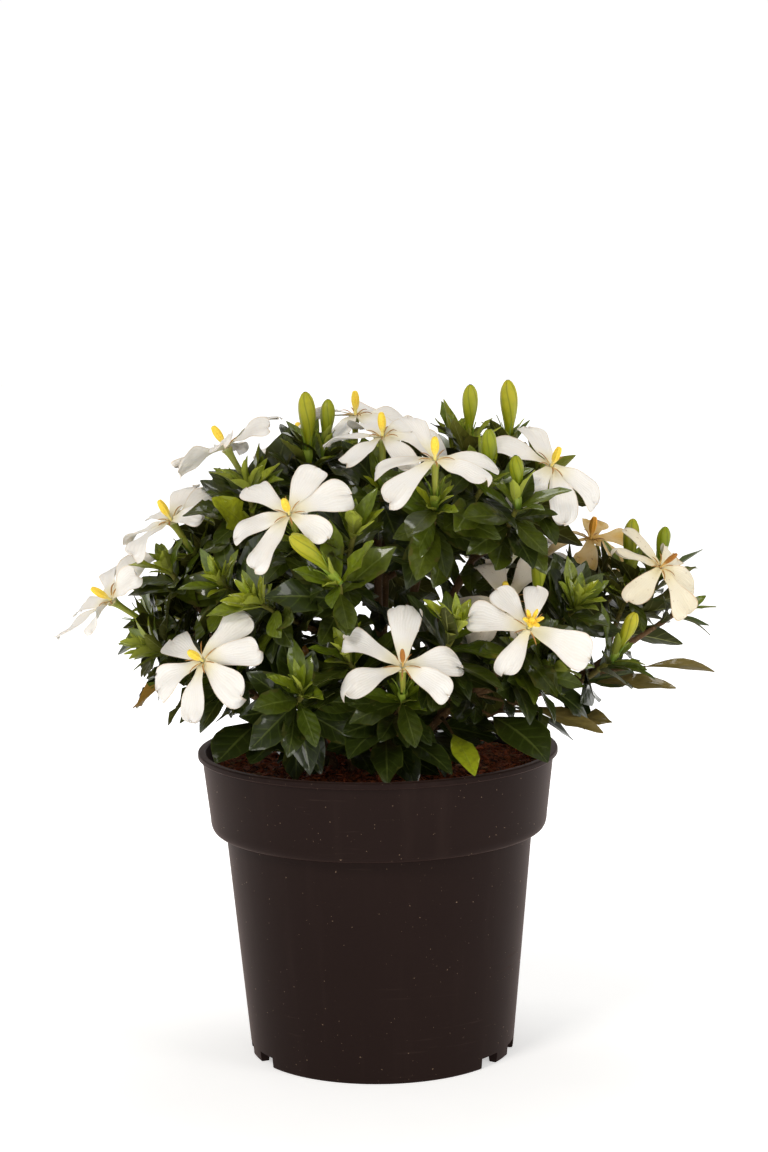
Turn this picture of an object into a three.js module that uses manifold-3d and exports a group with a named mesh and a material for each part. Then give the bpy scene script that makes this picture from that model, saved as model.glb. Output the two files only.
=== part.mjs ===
// A single-flowered gardenia in a black nursery pot. Millimetres, +Z up.
// The origin is the centre of the pot's underside. -Y is the front, which the best blooms face, and +X is its
// right.
import * as THREE from "three";
import { mergeVertices } from "three/addons/utils/BufferGeometryUtils.js";
import Module from "manifold-3d";

const wasm = await Module();
wasm.setup();

// ---------------------------------------------------------------- driving dimensions
const GAP = 0.35; // air between pieces that touch on the real plant

const POT = {
  height: 163,
  rimRadius: 95.6, // outside the lip
  lipDepth: 3.6,
  lipOverhang: 2.3, // how far the lip stands out past the collar
  collarFoot: 120, // height where the collar meets the lower wall
  collarFootRadius: 89.6,
  collarRound: 8, // height of the collar's rounded lower corner
  roundIn: 2.2, // the middle of that corner, from the collar's foot
  roundUp: 2.6,
  stepDrop: 0.6, // the collar's underside slopes down by this
  insideDrop: 2, // inside, the wall narrows this far below the collar's foot
  lipSlope: 0.7,
  waistRadius: 81.6, // lower wall just under the collar
  baseRadius: 70.4,
  wall: 1.8,
  floorLow: 4.5,
  floorHigh: 6.5,
  padRadius: 13, // centre pad that the floor stands on
  footWidth: 4.4,
  draft: 0.5, // how far the pad and the foot ring draw in over their height
  sides: 32,
};

// The notches that part the foot ring into two broad feet, front and back, and three small ones on each side.
const NOTCH = {
  height: 5.6,
  turn: -4, // degrees that the broad feet are turned by
  footSpan: 102, // degrees that a broad foot covers
  span: 11,
  smallFeet: 3,
  inside: 12, // how far its cutter reaches in from the foot ring's outside, and out and down past it
  outside: 6,
  below: 2,
};

const SOIL = {
  level: 152,
  mound: 4, // how much higher the middle lies
  bendRadius: 60, // the ring where the top is uneven, and how far it is
  bendHeight: 1.3,
  relief: 1.3,
  clearance: 0.4, // to the pot's wall
  holeDepth: 45,
};

const STEM = {
  footRadius: 2.9, crownRadius: 1.9, sides: 5, steps: 3,
  straight: 2, // how far it stands straight above the soil
  sink: 2, // from the bottom of its hole
  holeGap: 0.7,
  uprightShare: 0.35, // the curve's two handles: straight up from the foot, and in and down from the crown
  inwardShare: 0.4,
  underShare: 0.25,
};

const TWIG = {
  radius: 1.3, sides: 3, steps: 2,
  forkStep: 0.05, // how far down the stem each twig leaves it after the one before
  lean: 0.5, // how much of the stem's own direction it starts with
  startShare: 0.3, // its curve's two handles, as shares of its length
  endShare: 0.35,
};

const LEAF = {
  thickness: 0.7,
  spacing: 1.9, // between the roots of one whorl, along the twig
  arch: 0.17, // sag of the midrib, as a share of the leaf's length
  fold: 0.22, // how far the edges stand above the midrib, as a share of the half width
  rootShare: 0.16, // the share of its length that may lie in its own stem and among its neighbours' roots
  broadEnd: 1.35, // above 1, its widest place is nearer the tip
  fullness: 0.75, // below 1, its outline is fuller
  shoulders: [0.3, 0.64], // where its outline's corners are, as shares of its length
  youngShoulder: 0.5,
  sizeSpan: 0.32, // how far its size, its turn and its lean vary in all
  turnSpan: 24,
  leanSpan: 22,
  firstShare: 0.15, // none grows lower on its twig
  lowRise: 4, // the rise of a low leaf, and how much further down it may hang
  lowDroop: 34,
  loneRoll: 20, // how far the face of a leaf that hangs alone is turned to the front
};

const PETAL = {
  thickness: 0.9,
  length: 31,
  width: 17.5,
  shoulder: 0.68, // how far along it is widest
  endShare: 0.52, // its end's width as a share of its own
  rise: 0.1, // how steeply it leaves the throat, and how far it droops by its end, as shares of its length
  droop: 0.26,
  twist: 12, // degrees
  cup: 0.16, // how far its edges stand above its middle, as a share of the half width
  roomShare: 0.96, // how much of the way to the next petal it may fill, each side
  // How far each of these varies in all.
  lengthSpan: 0.12, widthSpan: 0.2, riseSpan: 0.12, droopSpan: 0.2, twistSpan: 1,
};

const BLOOM = {
  tube: 20, tubeRadius: 1.6,
  neckRadius: 2.1, neckDepth: 3, // where the tube widens, below the throat
  rimRadius: 3.4,
  air: [[1, 8], [22, 24]], // a cone over the petals, by height and radius, that no leaf stands in
  airSides: 6,
};
const PISTIL = { sides: 4, rows: [[PETAL.thickness / 2 + GAP, 0.75], [8.5, 1.95], [14, 0.8]] };
const CALYX = { length: 8, radius: 2.4 };
const BUD = { sides: 5, slim: 1.6, swell: 0.105, profile: [[0, 0.36], [0.32, 0.5], [0.68, 1], [1, 0.16]] };

// A woody stem: where it stands in the soil, and its crown, where its last twigs fork. A shoot: where it
// ends, and the way its tip faces, as a turn about the pot (0 is the front, 90 the right) and a rise above
// the level, in degrees. Its fork is how far up the stem it leaves it. A bloom also has the turns of its
// petals about its own axis, counted from its right-hand side, and how a petal's rise and size differ from
// the common ones. A sprig is a tip with slender leaves only. A leaf that hangs alone has its root on the
// stem, its tip and its width.
const petal = (turn, lift = 0, size = 1) => ({ turn, lift, size });
const bloom = (at, turn, rise, petals, more = {}) => ({
  kind: "bloom", at, turn, rise, fork: 1, ...more,
  petals: petals.map((p) => (typeof p === "number" ? petal(p) : p)),
});
const bud = (at, turn, rise, length, fork = 1) => ({ kind: "bud", at, turn, rise, length, fork });
const tip = (at, turn, rise, fork = 1) => ({ kind: "tip", at, turn, rise, fork });
const sprig = (at, turn, rise, fork = 1) => ({ kind: "sprig", at, turn, rise, fork });
const lone = (fork, end, width) => ({ fork, end, width });

const STEMS = [
  {
    name: "left_low", foot: [-24, -17], crown: [-58, -44, 196],
    shoots: [
      bloom([-87, -70, 222], -33, 27, [18, 57, 158, 210, 268, 328]),
      tip([-37, -84, 206], -10, 55, 0.85),
      tip([-112, -32, 222], -75, 25),
    ],
    leaves: [lone(0.85, [-80, -84, 171], 24), lone(0.57, [-61, -86, 171], 19)],
  },
  {
    name: "left", foot: [-27, 4], crown: [-82, -2, 226],
    shoots: [
      bloom([-138, -10, 245], -61, 35, [
        petal(38, 0.35, 0.85), petal(86, 0.1, 1.05), petal(140, 0.12), petal(200, 0.22), petal(246, 0.3),
        petal(306, 0.45, 0.8),
      ]),
      tip([-108, -14, 262], -60, 60),
      tip([-112, 22, 238], -110, 40, 0.77),
    ],
    leaves: [],
  },
  {
    name: "left_high", foot: [-16, 12], crown: [-66, 0, 258],
    shoots: [
      bloom([-106, -5, 286], -52, 55, [
        petal(6, 0.35, 0.9), petal(70, 0, 1.06), petal(116, 0.22), petal(168, 0, 0.9), 218, petal(276, 0.3),
      ]),
      tip([-78, -38, 256], -50, 50, 0.69),
      tip([-64, -26, 304], -40, 70),
      tip([-86, 32, 282], -120, 50, 0.85),
    ],
    leaves: [],
  },
  {
    name: "upper_left", foot: [-9, 4], crown: [-44, 8, 288],
    shoots: [
      bloom([-76, -10, 324], -100, 60, [
        petal(12, 0.2), petal(66, 0.1), petal(124, 0.25), petal(188, 0.1), petal(250, 0.3), petal(312, 0.25),
      ]),
      bud([-34, -6, 315], -10, 84, 38),
      bud([-26, 2, 319], 30, 78, 30),
      bloom([-40, 68, 318], 200, 70, [10, 70, 130, 190, 250, 310], { size: 0.9 }),
    ],
    leaves: [],
  },
  {
    name: "front_left", foot: [-13, -22], crown: [-27, -50, 246],
    shoots: [
      bloom([-42, -76, 296], -12, 38, [28, 71, 143, 197, 243, petal(328, 0.1, 0.75)]),
      bud([-18, -82, 263], -64, 44, 36, 0.85),
      tip([-10, -62, 284], 0, 70),
      tip([-58, -66, 250], -50, 40, 0.77),
    ],
    leaves: [],
  },
  {
    name: "top", foot: [1, 9], crown: [2, 2, 286],
    shoots: [
      bloom([5, -30, 330], 0, 74, [178, 236, 296, 354, petal(42, 0.2), 112]),
      bloom([-9, 30, 337], 10, 80, [0, 60, 120, 180, 240, 300]),
      tip([44, 14, 322], 20, 74),
    ],
    leaves: [],
  },
  {
    name: "top_right", foot: [6, -8], crown: [29, -24, 280],
    shoots: [
      bloom([31, -66, 321], 0, 64, [2, petal(116, 0.5, 0.95), 175, 226, 324]),
      bud([50, -10, 323], 10, 80, 33),
      bud([57, -46, 307], 10, 72, 30),
    ],
    leaves: [],
  },
  {
    name: "right_high", foot: [14, 5], crown: [60, -6, 278],
    shoots: [
      bloom([92, -22, 313], 26, 47, [87, 142, 218, 266, 318]),
      bud([71, 2, 318], 0, 84, 39),
      bud([73, -52, 296], -12, 76, 27, 0.85),
      tip([88, 32, 300], 120, 60),
    ],
    leaves: [],
  },
  {
    name: "right", foot: [23, 8], crown: [92, 14, 222],
    shoots: [
      bloom([118, 49, 266], 20, 72, [0, 60, 120, 180, 240, 300], { aged: true, size: 0.85 }),
      bud([135, 18, 247], 60, 84, 34),
      tip([104, -26, 240], 30, 60, 0.85),
    ],
    leaves: [],
  },
  {
    name: "far_right", foot: [26, -5], crown: [118, -12, 203],
    shoots: [
      bloom([150, -4, 257], 45, 37, [100, 146, 205, 282, 328, 22], { aged: true, size: 0.88 }),
      bud([153, 30, 247], 80, 82, 28),
      bud([123, -26, 212], 70, 64, 28, 0.77),
      sprig([159, 0, 232], 80, 30),
    ],
    leaves: [
      lone(1, [176, -18, 204], 12), lone(0.85, [154, -30, 195], 15), lone(0.5, [119, -44, 180], 13),
    ],
  },
  {
    name: "front", foot: [-1, -29], crown: [8, -58, 188],
    shoots: [
      bloom([13, -92, 221], 0, 46, [
        10, petal(87, 0.4), petal(156, 0.4, 1.05), petal(208, 0.18), petal(326, 0.12, 0.88),
      ]),
      tip([40, -80, 236], 15, 60),
      tip([-14, -76, 222], -15, 55),
    ],
    leaves: [
      lone(0.92, [-12, -100, 179], 18), lone(0.69, [4, -94, 165], 17), lone(0.72, [34, -94, 168], 15),
    ],
  },
  {
    name: "front_right", foot: [17, -22], crown: [56, -46, 204],
    shoots: [
      bloom([76, -84, 238], 8, 30, [
        petal(73, 0, 0.8), petal(121, 0, 0.85), 162, petal(236, 0.1, 0.85), petal(332, 0, 1.05),
      ]),
      bloom([68, -38, 244], -10, 62, [petal(62, 0.5), petal(118, 0.5), 184, 240, petal(296, 0, 0.8)]),
      bud([82, -42, 241], 15, 76, 30),
      tip([92, -62, 214], 40, 40),
    ],
    leaves: [
      lone(0.75, [82, -90, 174], 27), lone(0.54, [46, -90, 166], 13), lone(0.85, [112, -62, 177], 15),
    ],
  },
  {
    name: "back_left", foot: [-17, 25], crown: [-62, 58, 224],
    shoots: [
      bloom([-92, 92, 252], 215, 40, [5, 66, 122, 184, 243, 300]),
      bud([-60, 98, 262], 200, 64, 34),
      tip([-112, 62, 226], 240, 35),
      tip([-60, 66, 290], 220, 65),
    ],
    leaves: [],
  },
  {
    name: "back", foot: [2, 29], crown: [6, 66, 248],
    shoots: [
      bloom([10, 108, 268], 178, 44, [15, 72, 138, 190, 256, 318]),
      bloom([50, 84, 298], 160, 60, [0, 58, 118, 185, 236, 302]),
      tip([4, 80, 304], 180, 68),
    ],
    leaves: [],
  },
  {
    name: "back_right", foot: [19, 24], crown: [66, 60, 232],
    shoots: [
      bloom([84, 94, 254], 150, 38, [22, 80, 140, 198, 262, 325]),
      bud([76, 56, 280], 140, 74, 32),
      tip([116, 68, 236], 125, 35),
    ],
    leaves: [],
  },
];

// Whorls of leaves down a shoot from its tip: how many leaves, how far back they stand, how far they lean out
// from the twig, and their length and width. The young ones are slender, with one corner in their outline.
const WHORLS = {
  bloom: [
    { leaves: 3, back: 1, lean: 66, length: 42, width: 20 },
  ],
  bud: [],
  tip: [
    { leaves: 3, back: 1, lean: 32, length: 28, width: 12, young: true },
    { leaves: 3, back: 12, lean: 66, length: 45, width: 22 },
  ],
  sprig: [
    { leaves: 4, back: 1, lean: 42, length: 27, width: 8, young: true },
  ],
};

// Old leaves low on a stem, which lie outwards: how far up it they grow, and their turn from outwards.
const LOW_LEAVES = [
  { fork: 0.12, turn: 34, length: 45, width: 22 },
  { fork: 0.36, turn: -38, length: 46, width: 22 },
  { fork: 0.58, turn: 8, length: 45, width: 22 },
  { fork: 0.84, turn: -70, length: 42, width: 20 },
];

// How a leaf that would cross another stem's leaf or a bloom is bent clear: turned about its twig, leaned and
// shortened.
const BENDS = [
  [0, 0, 1], [22, 0, 1], [-22, 0, 1], [0, -16, 0.95], [0, 16, 0.9],
  [38, -8, 0.85], [-38, -8, 0.85], [0, -24, 0.75], [24, 12, 0.7], [-24, 12, 0.7],
];

const MATERIALS = {
  pot: new THREE.MeshStandardMaterial({ color: 0x2e2422, roughness: 0.5, metalness: 0 }),
  soil: new THREE.MeshStandardMaterial({ color: 0x3a2015, roughness: 1, metalness: 0 }),
  foliage: new THREE.MeshStandardMaterial({ color: 0x2c4a1c, roughness: 0.35, metalness: 0 }),
  petal: new THREE.MeshStandardMaterial({ color: 0xf3eee6, roughness: 0.55, metalness: 0 }),
  agedPetal: new THREE.MeshStandardMaterial({ color: 0xe6d5ae, roughness: 0.6, metalness: 0 }),
  pistil: new THREE.MeshStandardMaterial({ color: 0xe3b52b, roughness: 0.6, metalness: 0 }),
};

// ---------------------------------------------------------------- small tools
const UP = new THREE.Vector3(0, 0, 1);
const FRONT = new THREE.Vector3(0, -1, 0);
const rad = THREE.MathUtils.degToRad;
const vec = (p) => new THREE.Vector3(p[0], p[1], p[2]);

// A stream of draws from 0 to 1 that is the same on every run: a linear congruential generator.
function drawsFrom(seed) {
  const [factor, step, range] = [1664525, 1013904223, 2 ** 32];
  let state = seed;
  return () => {
    state = (Math.imul(state, factor) + step) >>> 0;
    return state / range;
  };
}

// A draw about zero, with that span in all.
const vary = (draw, span) => span * (draw() - 0.5);

// The unit vector with that turn about the pot and rise above the level.
function facing(turn, rise) {
  const level = Math.cos(rad(rise));
  return new THREE.Vector3(Math.sin(rad(turn)) * level, -Math.cos(rad(turn)) * level, Math.sin(rad(rise)));
}

// The unit vector square to a direction that points as far up as it can.
const upright = (along) => UP.clone().addScaledVector(along, -UP.dot(along)).normalize();

// Two unit vectors square to an axis: to its right, as seen from where it points, and up. A guide, where
// there is one, says which way right is, as near as it can be.
function across(axis, guide = new THREE.Vector3().crossVectors(UP, axis)) {
  const right = guide.clone().addScaledVector(axis, -guide.dot(axis));
  if (right.length() < 0.05) right.set(1, 0, 0);
  right.normalize();
  return { right, above: new THREE.Vector3().crossVectors(axis, right).normalize() };
}

function solidOf(geometry) {
  const bare = new THREE.BufferGeometry().setAttribute("position", geometry.getAttribute("position"));
  bare.setIndex(geometry.index);
  const merged = mergeVertices(bare, 1e-4);
  return new wasm.Manifold(
    new wasm.Mesh({
      numProp: 3,
      vertProperties: new Float32Array(merged.attributes.position.array),
      triVerts: new Uint32Array(merged.index.array),
    }),
  );
}

function meshOf(name, solid, material) {
  const { vertProperties, triVerts, numProp } = solid.getMesh();
  if (numProp !== 3) throw new Error(name + " carries more than positions");
  const geometry = new THREE.BufferGeometry();
  geometry.setAttribute("position", new THREE.BufferAttribute(new Float32Array(vertProperties), 3));
  geometry.setIndex(new THREE.BufferAttribute(new Uint32Array(triVerts), 1));
  geometry.computeVertexNormals();
  const mesh = new THREE.Mesh(geometry, material);
  mesh.name = name;
  return mesh;
}

function geometryFrom(points, faces) {
  const geometry = new THREE.BufferGeometry();
  const numbers = points.flatMap((p) => [p.x, p.y, p.z]);
  geometry.setAttribute("position", new THREE.Float32BufferAttribute(numbers, 3));
  geometry.setIndex(faces.flat());
  return geometry;
}

// A closed skin over rings of points, each running anticlockwise as seen from the last one back to the first.
function loft(rings) {
  const n = rings[0].length;
  const last = (rings.length - 1) * n;
  const faces = [];
  for (let r = 0; r + 1 < rings.length; r += 1) {
    for (let i = 0; i < n; i += 1) {
      const a = r * n + i;
      const b = r * n + ((i + 1) % n);
      faces.push([a, b, b + n], [a, b + n, a + n]);
    }
  }
  for (let i = 1; i + 1 < n; i += 1) {
    faces.push([0, i + 1, i], [last, last + i, last + i + 1]);
  }
  return geometryFrom(rings.flat(), faces);
}

// One ring of a round body: a regular polygon about a point of its axis.
function ring(centre, axis, radius, sides, guide) {
  const { right, above } = across(axis, guide);
  return Array.from({ length: sides }, (_, i) => {
    const angle = (2 * Math.PI * i) / sides;
    return centre.clone()
      .addScaledVector(right, radius * Math.cos(angle))
      .addScaledVector(above, radius * Math.sin(angle));
  });
}

// The rings of a round body on a straight axis, from rows of [distance along it, radius].
function turnedRings(base, axis, rows, sides, guide) {
  const at = (along) => base.clone().addScaledVector(axis, along);
  return rows.map(([along, radius]) => ring(at(along), axis, radius, sides, guide));
}

const turned = (base, axis, rows, sides) => loft(turnedRings(base, axis, rows, sides));

// A curve as the straight pieces that its rod is made of, so that what grows from it starts in the wood.
function pathOf(curve, steps) {
  const points = Array.from({ length: steps + 1 }, (_, i) => curve.getPoint(i / steps));
  const piece = (t) => Math.min(steps - 1, Math.max(0, Math.floor(t * steps)));
  const chord = points[steps].clone().sub(points[0]).normalize();
  return {
    points,
    start: points[0],
    end: points[steps],
    length: points[0].distanceTo(points[steps]),
    chord,
    right: across(chord).right,
    at: (t) => points[piece(t)].clone().lerp(points[piece(t) + 1], t * steps - piece(t)),
    heading: (t) => curve.getTangent(Math.min(1, Math.max(0, t))),
  };
}

// A thin blade from rows of points, thickened along one line: a point, then [left, right] or [left, right]
// and [left, middle, right], then a point.
function blade(rows, thickness, normal) {
  const points = [];
  const index = rows.map((row) => row.map((p) => points.push(p) - 1));
  const count = points.length;
  const upper = points.map((p) => p.clone().addScaledVector(normal, thickness / 2));
  const lower = points.map((p) => p.clone().addScaledVector(normal, -thickness / 2));
  const top = [];
  for (let r = 0; r + 1 < rows.length; r += 1) {
    const [near, far] = [index[r], index[r + 1]];
    if (near.length === 1) {
      for (let i = 0; i + 1 < far.length; i += 1) top.push([near[0], far[i + 1], far[i]]);
    } else if (far.length === 1) {
      for (let i = 0; i + 1 < near.length; i += 1) top.push([near[i], near[i + 1], far[0]]);
    } else {
      const [left, middle, right] = far;
      top.push([near[0], middle, left], [near[0], near[1], middle], [near[1], right, middle]);
    }
  }
  const rim = [...index.map((row) => row[0]), ...index.map((row) => row[row.length - 1]).reverse()];
  const edge = rim.filter((p, i) => p !== rim[(i + 1) % rim.length]);
  const sides = edge.flatMap((a, i) => {
    const b = edge[(i + 1) % edge.length];
    return [[a, b, b + count], [a, b + count, a + count]];
  });
  const under = top.map(([a, b, c]) => [c + count, b + count, a + count]);
  return geometryFrom([...upper, ...lower], [...top, ...under, ...sides]);
}

// ---------------------------------------------------------------- pot
// The pot's cross-section: up the outside from the pad, over the lip and down the inside.
function potProfile() {
  const p = POT;
  const collarTop = p.rimRadius - p.lipOverhang;
  const lipFoot = p.height - p.lipDepth;
  const ringInside = p.baseRadius - p.footWidth;
  return [
    [0, 0], [p.padRadius - p.draft, 0], [p.padRadius, p.floorLow],
    [ringInside - p.draft, p.floorLow], [ringInside, 0], [p.baseRadius, 0],
    [p.waistRadius, p.collarFoot - p.stepDrop],
    [p.collarFootRadius - p.roundIn, p.collarFoot + p.roundUp],
    [p.collarFootRadius, p.collarFoot + p.collarRound],
    [collarTop, lipFoot], [p.rimRadius, lipFoot + p.lipSlope], [p.rimRadius, p.height],
    [collarTop - p.wall, p.height], ...insideWall(0), [0, p.floorHigh],
  ].map(([radius, height]) => new THREE.Vector2(radius, height));
}

// The inside of the wall from the collar down to the floor, drawn in by a gap.
function insideWall(gap) {
  const p = POT;
  return [
    [p.collarFootRadius - p.wall - gap, p.collarFoot + p.collarRound + gap / 2],
    [p.waistRadius - p.wall - gap, p.collarFoot - p.insideDrop + gap / 2],
    [p.baseRadius - p.wall - gap, p.floorHigh + gap],
  ];
}

// A block that cuts the foot ring, from one turn about the pot's axis.
function notch(fromTurn) {
  const shape = new THREE.Shape();
  const near = POT.baseRadius - NOTCH.inside;
  const far = POT.baseRadius + NOTCH.outside;
  const toTurn = fromTurn + NOTCH.span;
  const at = (radius, turn) => [radius * Math.sin(rad(turn)), -radius * Math.cos(rad(turn))];
  shape.moveTo(...at(near, fromTurn));
  shape.lineTo(...at(far, fromTurn));
  shape.lineTo(...at(far, toTurn));
  shape.lineTo(...at(near, toTurn));
  shape.closePath();
  const block = new THREE.ExtrudeGeometry(shape, { depth: NOTCH.height + NOTCH.below, bevelEnabled: false });
  return solidOf(block.translate(0, 0, -NOTCH.below));
}

function makePot() {
  const wall = new THREE.LatheGeometry(potProfile(), POT.sides).rotateX(Math.PI / 2);
  let pot = solidOf(wall);
  const step = (180 - NOTCH.footSpan - NOTCH.span) / NOTCH.smallFeet; // from one notch to the next
  for (const side of [0, 180]) {
    for (let k = 0; k <= NOTCH.smallFeet; k += 1) {
      const start = NOTCH.turn + side + NOTCH.footSpan / 2 + k * step;
      pot = pot.subtract(notch(start));
    }
  }
  return pot;
}

// ---------------------------------------------------------------- plant
// The path of a stem above the soil, from its foot out to its crown.
function stemPath(stem) {
  const foot = new THREE.Vector3(stem.foot[0], stem.foot[1], SOIL.level + SOIL.mound + STEM.straight);
  const crown = vec(stem.crown);
  const over = new THREE.Vector3(foot.x, foot.y, crown.z);
  const rise = crown.z - foot.z;
  const curve = new THREE.CubicBezierCurve3(
    foot,
    foot.clone().lerp(over, STEM.uprightShare),
    crown.clone().lerp(over, STEM.inwardShare).addScaledVector(UP, -STEM.underShare * rise),
    crown,
  );
  return pathOf(curve, STEM.steps);
}

// A stem's wood. Below its path it stands straight in its hole.
function stemSolid(path) {
  const base = path.start.clone().setZ(SOIL.level - SOIL.holeDepth + STEM.sink);
  const radius = (t) => STEM.footRadius + (STEM.crownRadius - STEM.footRadius) * t;
  const rings = path.points.map((point, i) => {
    const t = i / STEM.steps;
    return ring(point, i === 0 ? UP : path.heading(t), radius(t), STEM.sides, path.right);
  });
  return solidOf(loft([ring(base, UP, STEM.footRadius, STEM.sides, path.right), ...rings]));
}

// Where a shoot's twig ends: at the foot of its calyx or its bud, or in its leafy tip.
function twigEnd(shoot) {
  const reach = shoot.kind === "bloom" ? BLOOM.tube + GAP + CALYX.length : 0;
  return vec(shoot.at).addScaledVector(facing(shoot.turn, shoot.rise), -reach);
}

// The twig of a stem's shoot with that index. Each leaves the stem a little below the one before.
function twigPath(shoot, index, trunk) {
  const fork = Math.min(shoot.fork, 1 - TWIG.forkStep * index);
  const from = trunk.at(fork);
  const to = twigEnd(shoot);
  const span = from.distanceTo(to);
  const leaving = to.clone().sub(from).normalize().addScaledVector(trunk.heading(fork), TWIG.lean);
  leaving.normalize();
  const curve = new THREE.CubicBezierCurve3(
    from,
    from.clone().addScaledVector(leaving, TWIG.startShare * span),
    to.clone().addScaledVector(facing(shoot.turn, shoot.rise), -TWIG.endShare * span),
    to,
  );
  return pathOf(curve, TWIG.steps);
}

// A leaf's outline: how much of its half width it has at a share of its length.
const leafShare = (t) => Math.sin(Math.PI * t ** LEAF.broadEnd) ** LEAF.fullness;

function leafBlade(leaf) {
  const side = new THREE.Vector3().crossVectors(leaf.along, leaf.normal).normalize();
  const point = (t, aside, lift) => leaf.root.clone()
    .addScaledVector(leaf.along, leaf.length * t)
    .addScaledVector(leaf.normal, -leaf.length * LEAF.arch * t * t + lift)
    .addScaledVector(side, aside);
  const row = (t) => {
    const half = (leaf.width / 2) * leafShare(t);
    return [point(t, -half, LEAF.fold * half), point(t, 0, 0), point(t, half, LEAF.fold * half)];
  };
  const edges = (t) => row(t).filter((_, i) => i !== 1);
  const broad = leaf.young ? [edges(LEAF.youngShoulder)] : [edges(LEAF.shoulders[0]), row(LEAF.shoulders[1])];
  return solidOf(blade([[point(0, 0, 0)], ...broad, [point(1, 0, 0)]], LEAF.thickness, leaf.normal));
}

// A leaf without its root.
function outerPart(leaf) {
  const start = leaf.root.clone().addScaledVector(leaf.along, leaf.length * LEAF.rootShare);
  return { ...leaf, root: start, length: leaf.length * (1 - LEAF.rootShare) };
}

// The leaves of one shoot, each as the ways that it may be bent.
function whorlLeaves(shoot, twig, draw) {
  const found = [];
  WHORLS[shoot.kind].forEach((whorl, w) => {
    const first = 360 * draw();
    for (let k = 0; k < whorl.leaves; k += 1) {
      const spin = first + (360 * k) / whorl.leaves + vary(draw, LEAF.turnSpan);
      const lean = whorl.lean + vary(draw, LEAF.leanSpan);
      const size = 1 + vary(draw, LEAF.sizeSpan);
      const t = 1 - (whorl.back + LEAF.spacing * k) / twig.length;
      if (t < LEAF.firstShare) continue;
      const axis = twig.heading(t);
      const { right, above } = across(axis);
      found.push(BENDS.map(([turn, tilt, scale]) => {
        const out = right.clone().multiplyScalar(Math.cos(rad(spin + turn)));
        out.addScaledVector(above, Math.sin(rad(spin + turn)));
        const along = axis.clone().multiplyScalar(Math.cos(rad(lean + tilt)));
        along.addScaledVector(out, Math.sin(rad(lean + tilt)));
        const normal = axis.clone().addScaledVector(along, -axis.dot(along)).normalize();
        return {
          root: twig.at(t), along, normal, young: whorl.young,
          length: whorl.length * size * scale, width: whorl.width * size * scale,
        };
      }));
    }
  });
  return found;
}

// The old leaves low on a stem, which lie out over the pot's edge.
function lowLeaves(trunk, draw) {
  const out = trunk.end.clone().addScaledVector(trunk.start, -0.5);
  const outward = THREE.MathUtils.radToDeg(Math.atan2(out.x, -out.y));
  return LOW_LEAVES.map((low) => {
    const turn = outward + low.turn + vary(draw, LEAF.turnSpan);
    const rise = LEAF.lowRise - LEAF.lowDroop * draw();
    const size = 1 + vary(draw, LEAF.sizeSpan);
    return BENDS.map(([swing, tilt, scale]) => {
      const along = facing(turn + swing, rise - tilt);
      return {
        root: trunk.at(low.fork), along, normal: upright(along),
        length: low.length * size * scale, width: low.width * size * scale,
      };
    });
  });
}

// A leaf that hangs from the stem itself, from its fork to its stated tip.
function loneLeaf(leaf, trunk) {
  const root = trunk.at(leaf.fork);
  const reach = vec(leaf.end).sub(root);
  const length = reach.length();
  reach.normalize();
  const aim = reach.clone().addScaledVector(upright(reach), LEAF.arch).normalize(); // it arches to its tip
  return BENDS.map(([turn, tilt, scale]) => {
    const along = aim.clone().applyAxisAngle(UP, rad(turn)).applyAxisAngle(across(aim).right, rad(tilt));
    const shown = upright(along).addScaledVector(FRONT, Math.tan(rad(LEAF.loneRoll)));
    const normal = shown.addScaledVector(along, -along.dot(shown)).normalize();
    return { root, along, normal, length: length * scale, width: leaf.width * scale };
  });
}

// The middle surface of one petal, as points at a share of its length and of its half width. It is a spoon
// that leaves the throat at a turn about the bloom's axis, rises, droops again and is twisted like a
// propeller. Its room is the degrees on either side of it that are its own, which it is drawn in to keep to.
function petalSurface(shoot, { turn, lift, size }, room, draw) {
  const axis = facing(shoot.turn, shoot.rise);
  const { right, above } = across(axis);
  const out = right.multiplyScalar(Math.cos(rad(turn))).addScaledVector(above, Math.sin(rad(turn)));
  const side = new THREE.Vector3().crossVectors(axis, out);
  const scale = size * (shoot.size ?? 1);
  const length = PETAL.length * scale * (1 + vary(draw, PETAL.lengthSpan));
  const half = (PETAL.width / 2) * scale * (1 + vary(draw, PETAL.widthSpan));
  const rise = PETAL.rise + lift + vary(draw, PETAL.riseSpan);
  const droop = PETAL.droop + vary(draw, PETAL.droopSpan);
  const twist = rad(PETAL.twist * (1 + vary(draw, PETAL.twistSpan)));
  const reach = PETAL.roomShare * length * PETAL.shoulder;
  const broadest = room.map((span) => Math.min(half, reach * Math.tan(rad(span))));
  return (t, share) => {
    const aside = share * broadest[share < 0 ? 0 : 1];
    return vec(shoot.at)
      .addScaledVector(out, length * t)
      .addScaledVector(side, aside * Math.cos(twist))
      .addScaledVector(axis, length * (rise * t - droop * t * t))
      .addScaledVector(axis, aside * Math.sin(twist) + half * PETAL.cup * share ** 2);
  };
}

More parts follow.
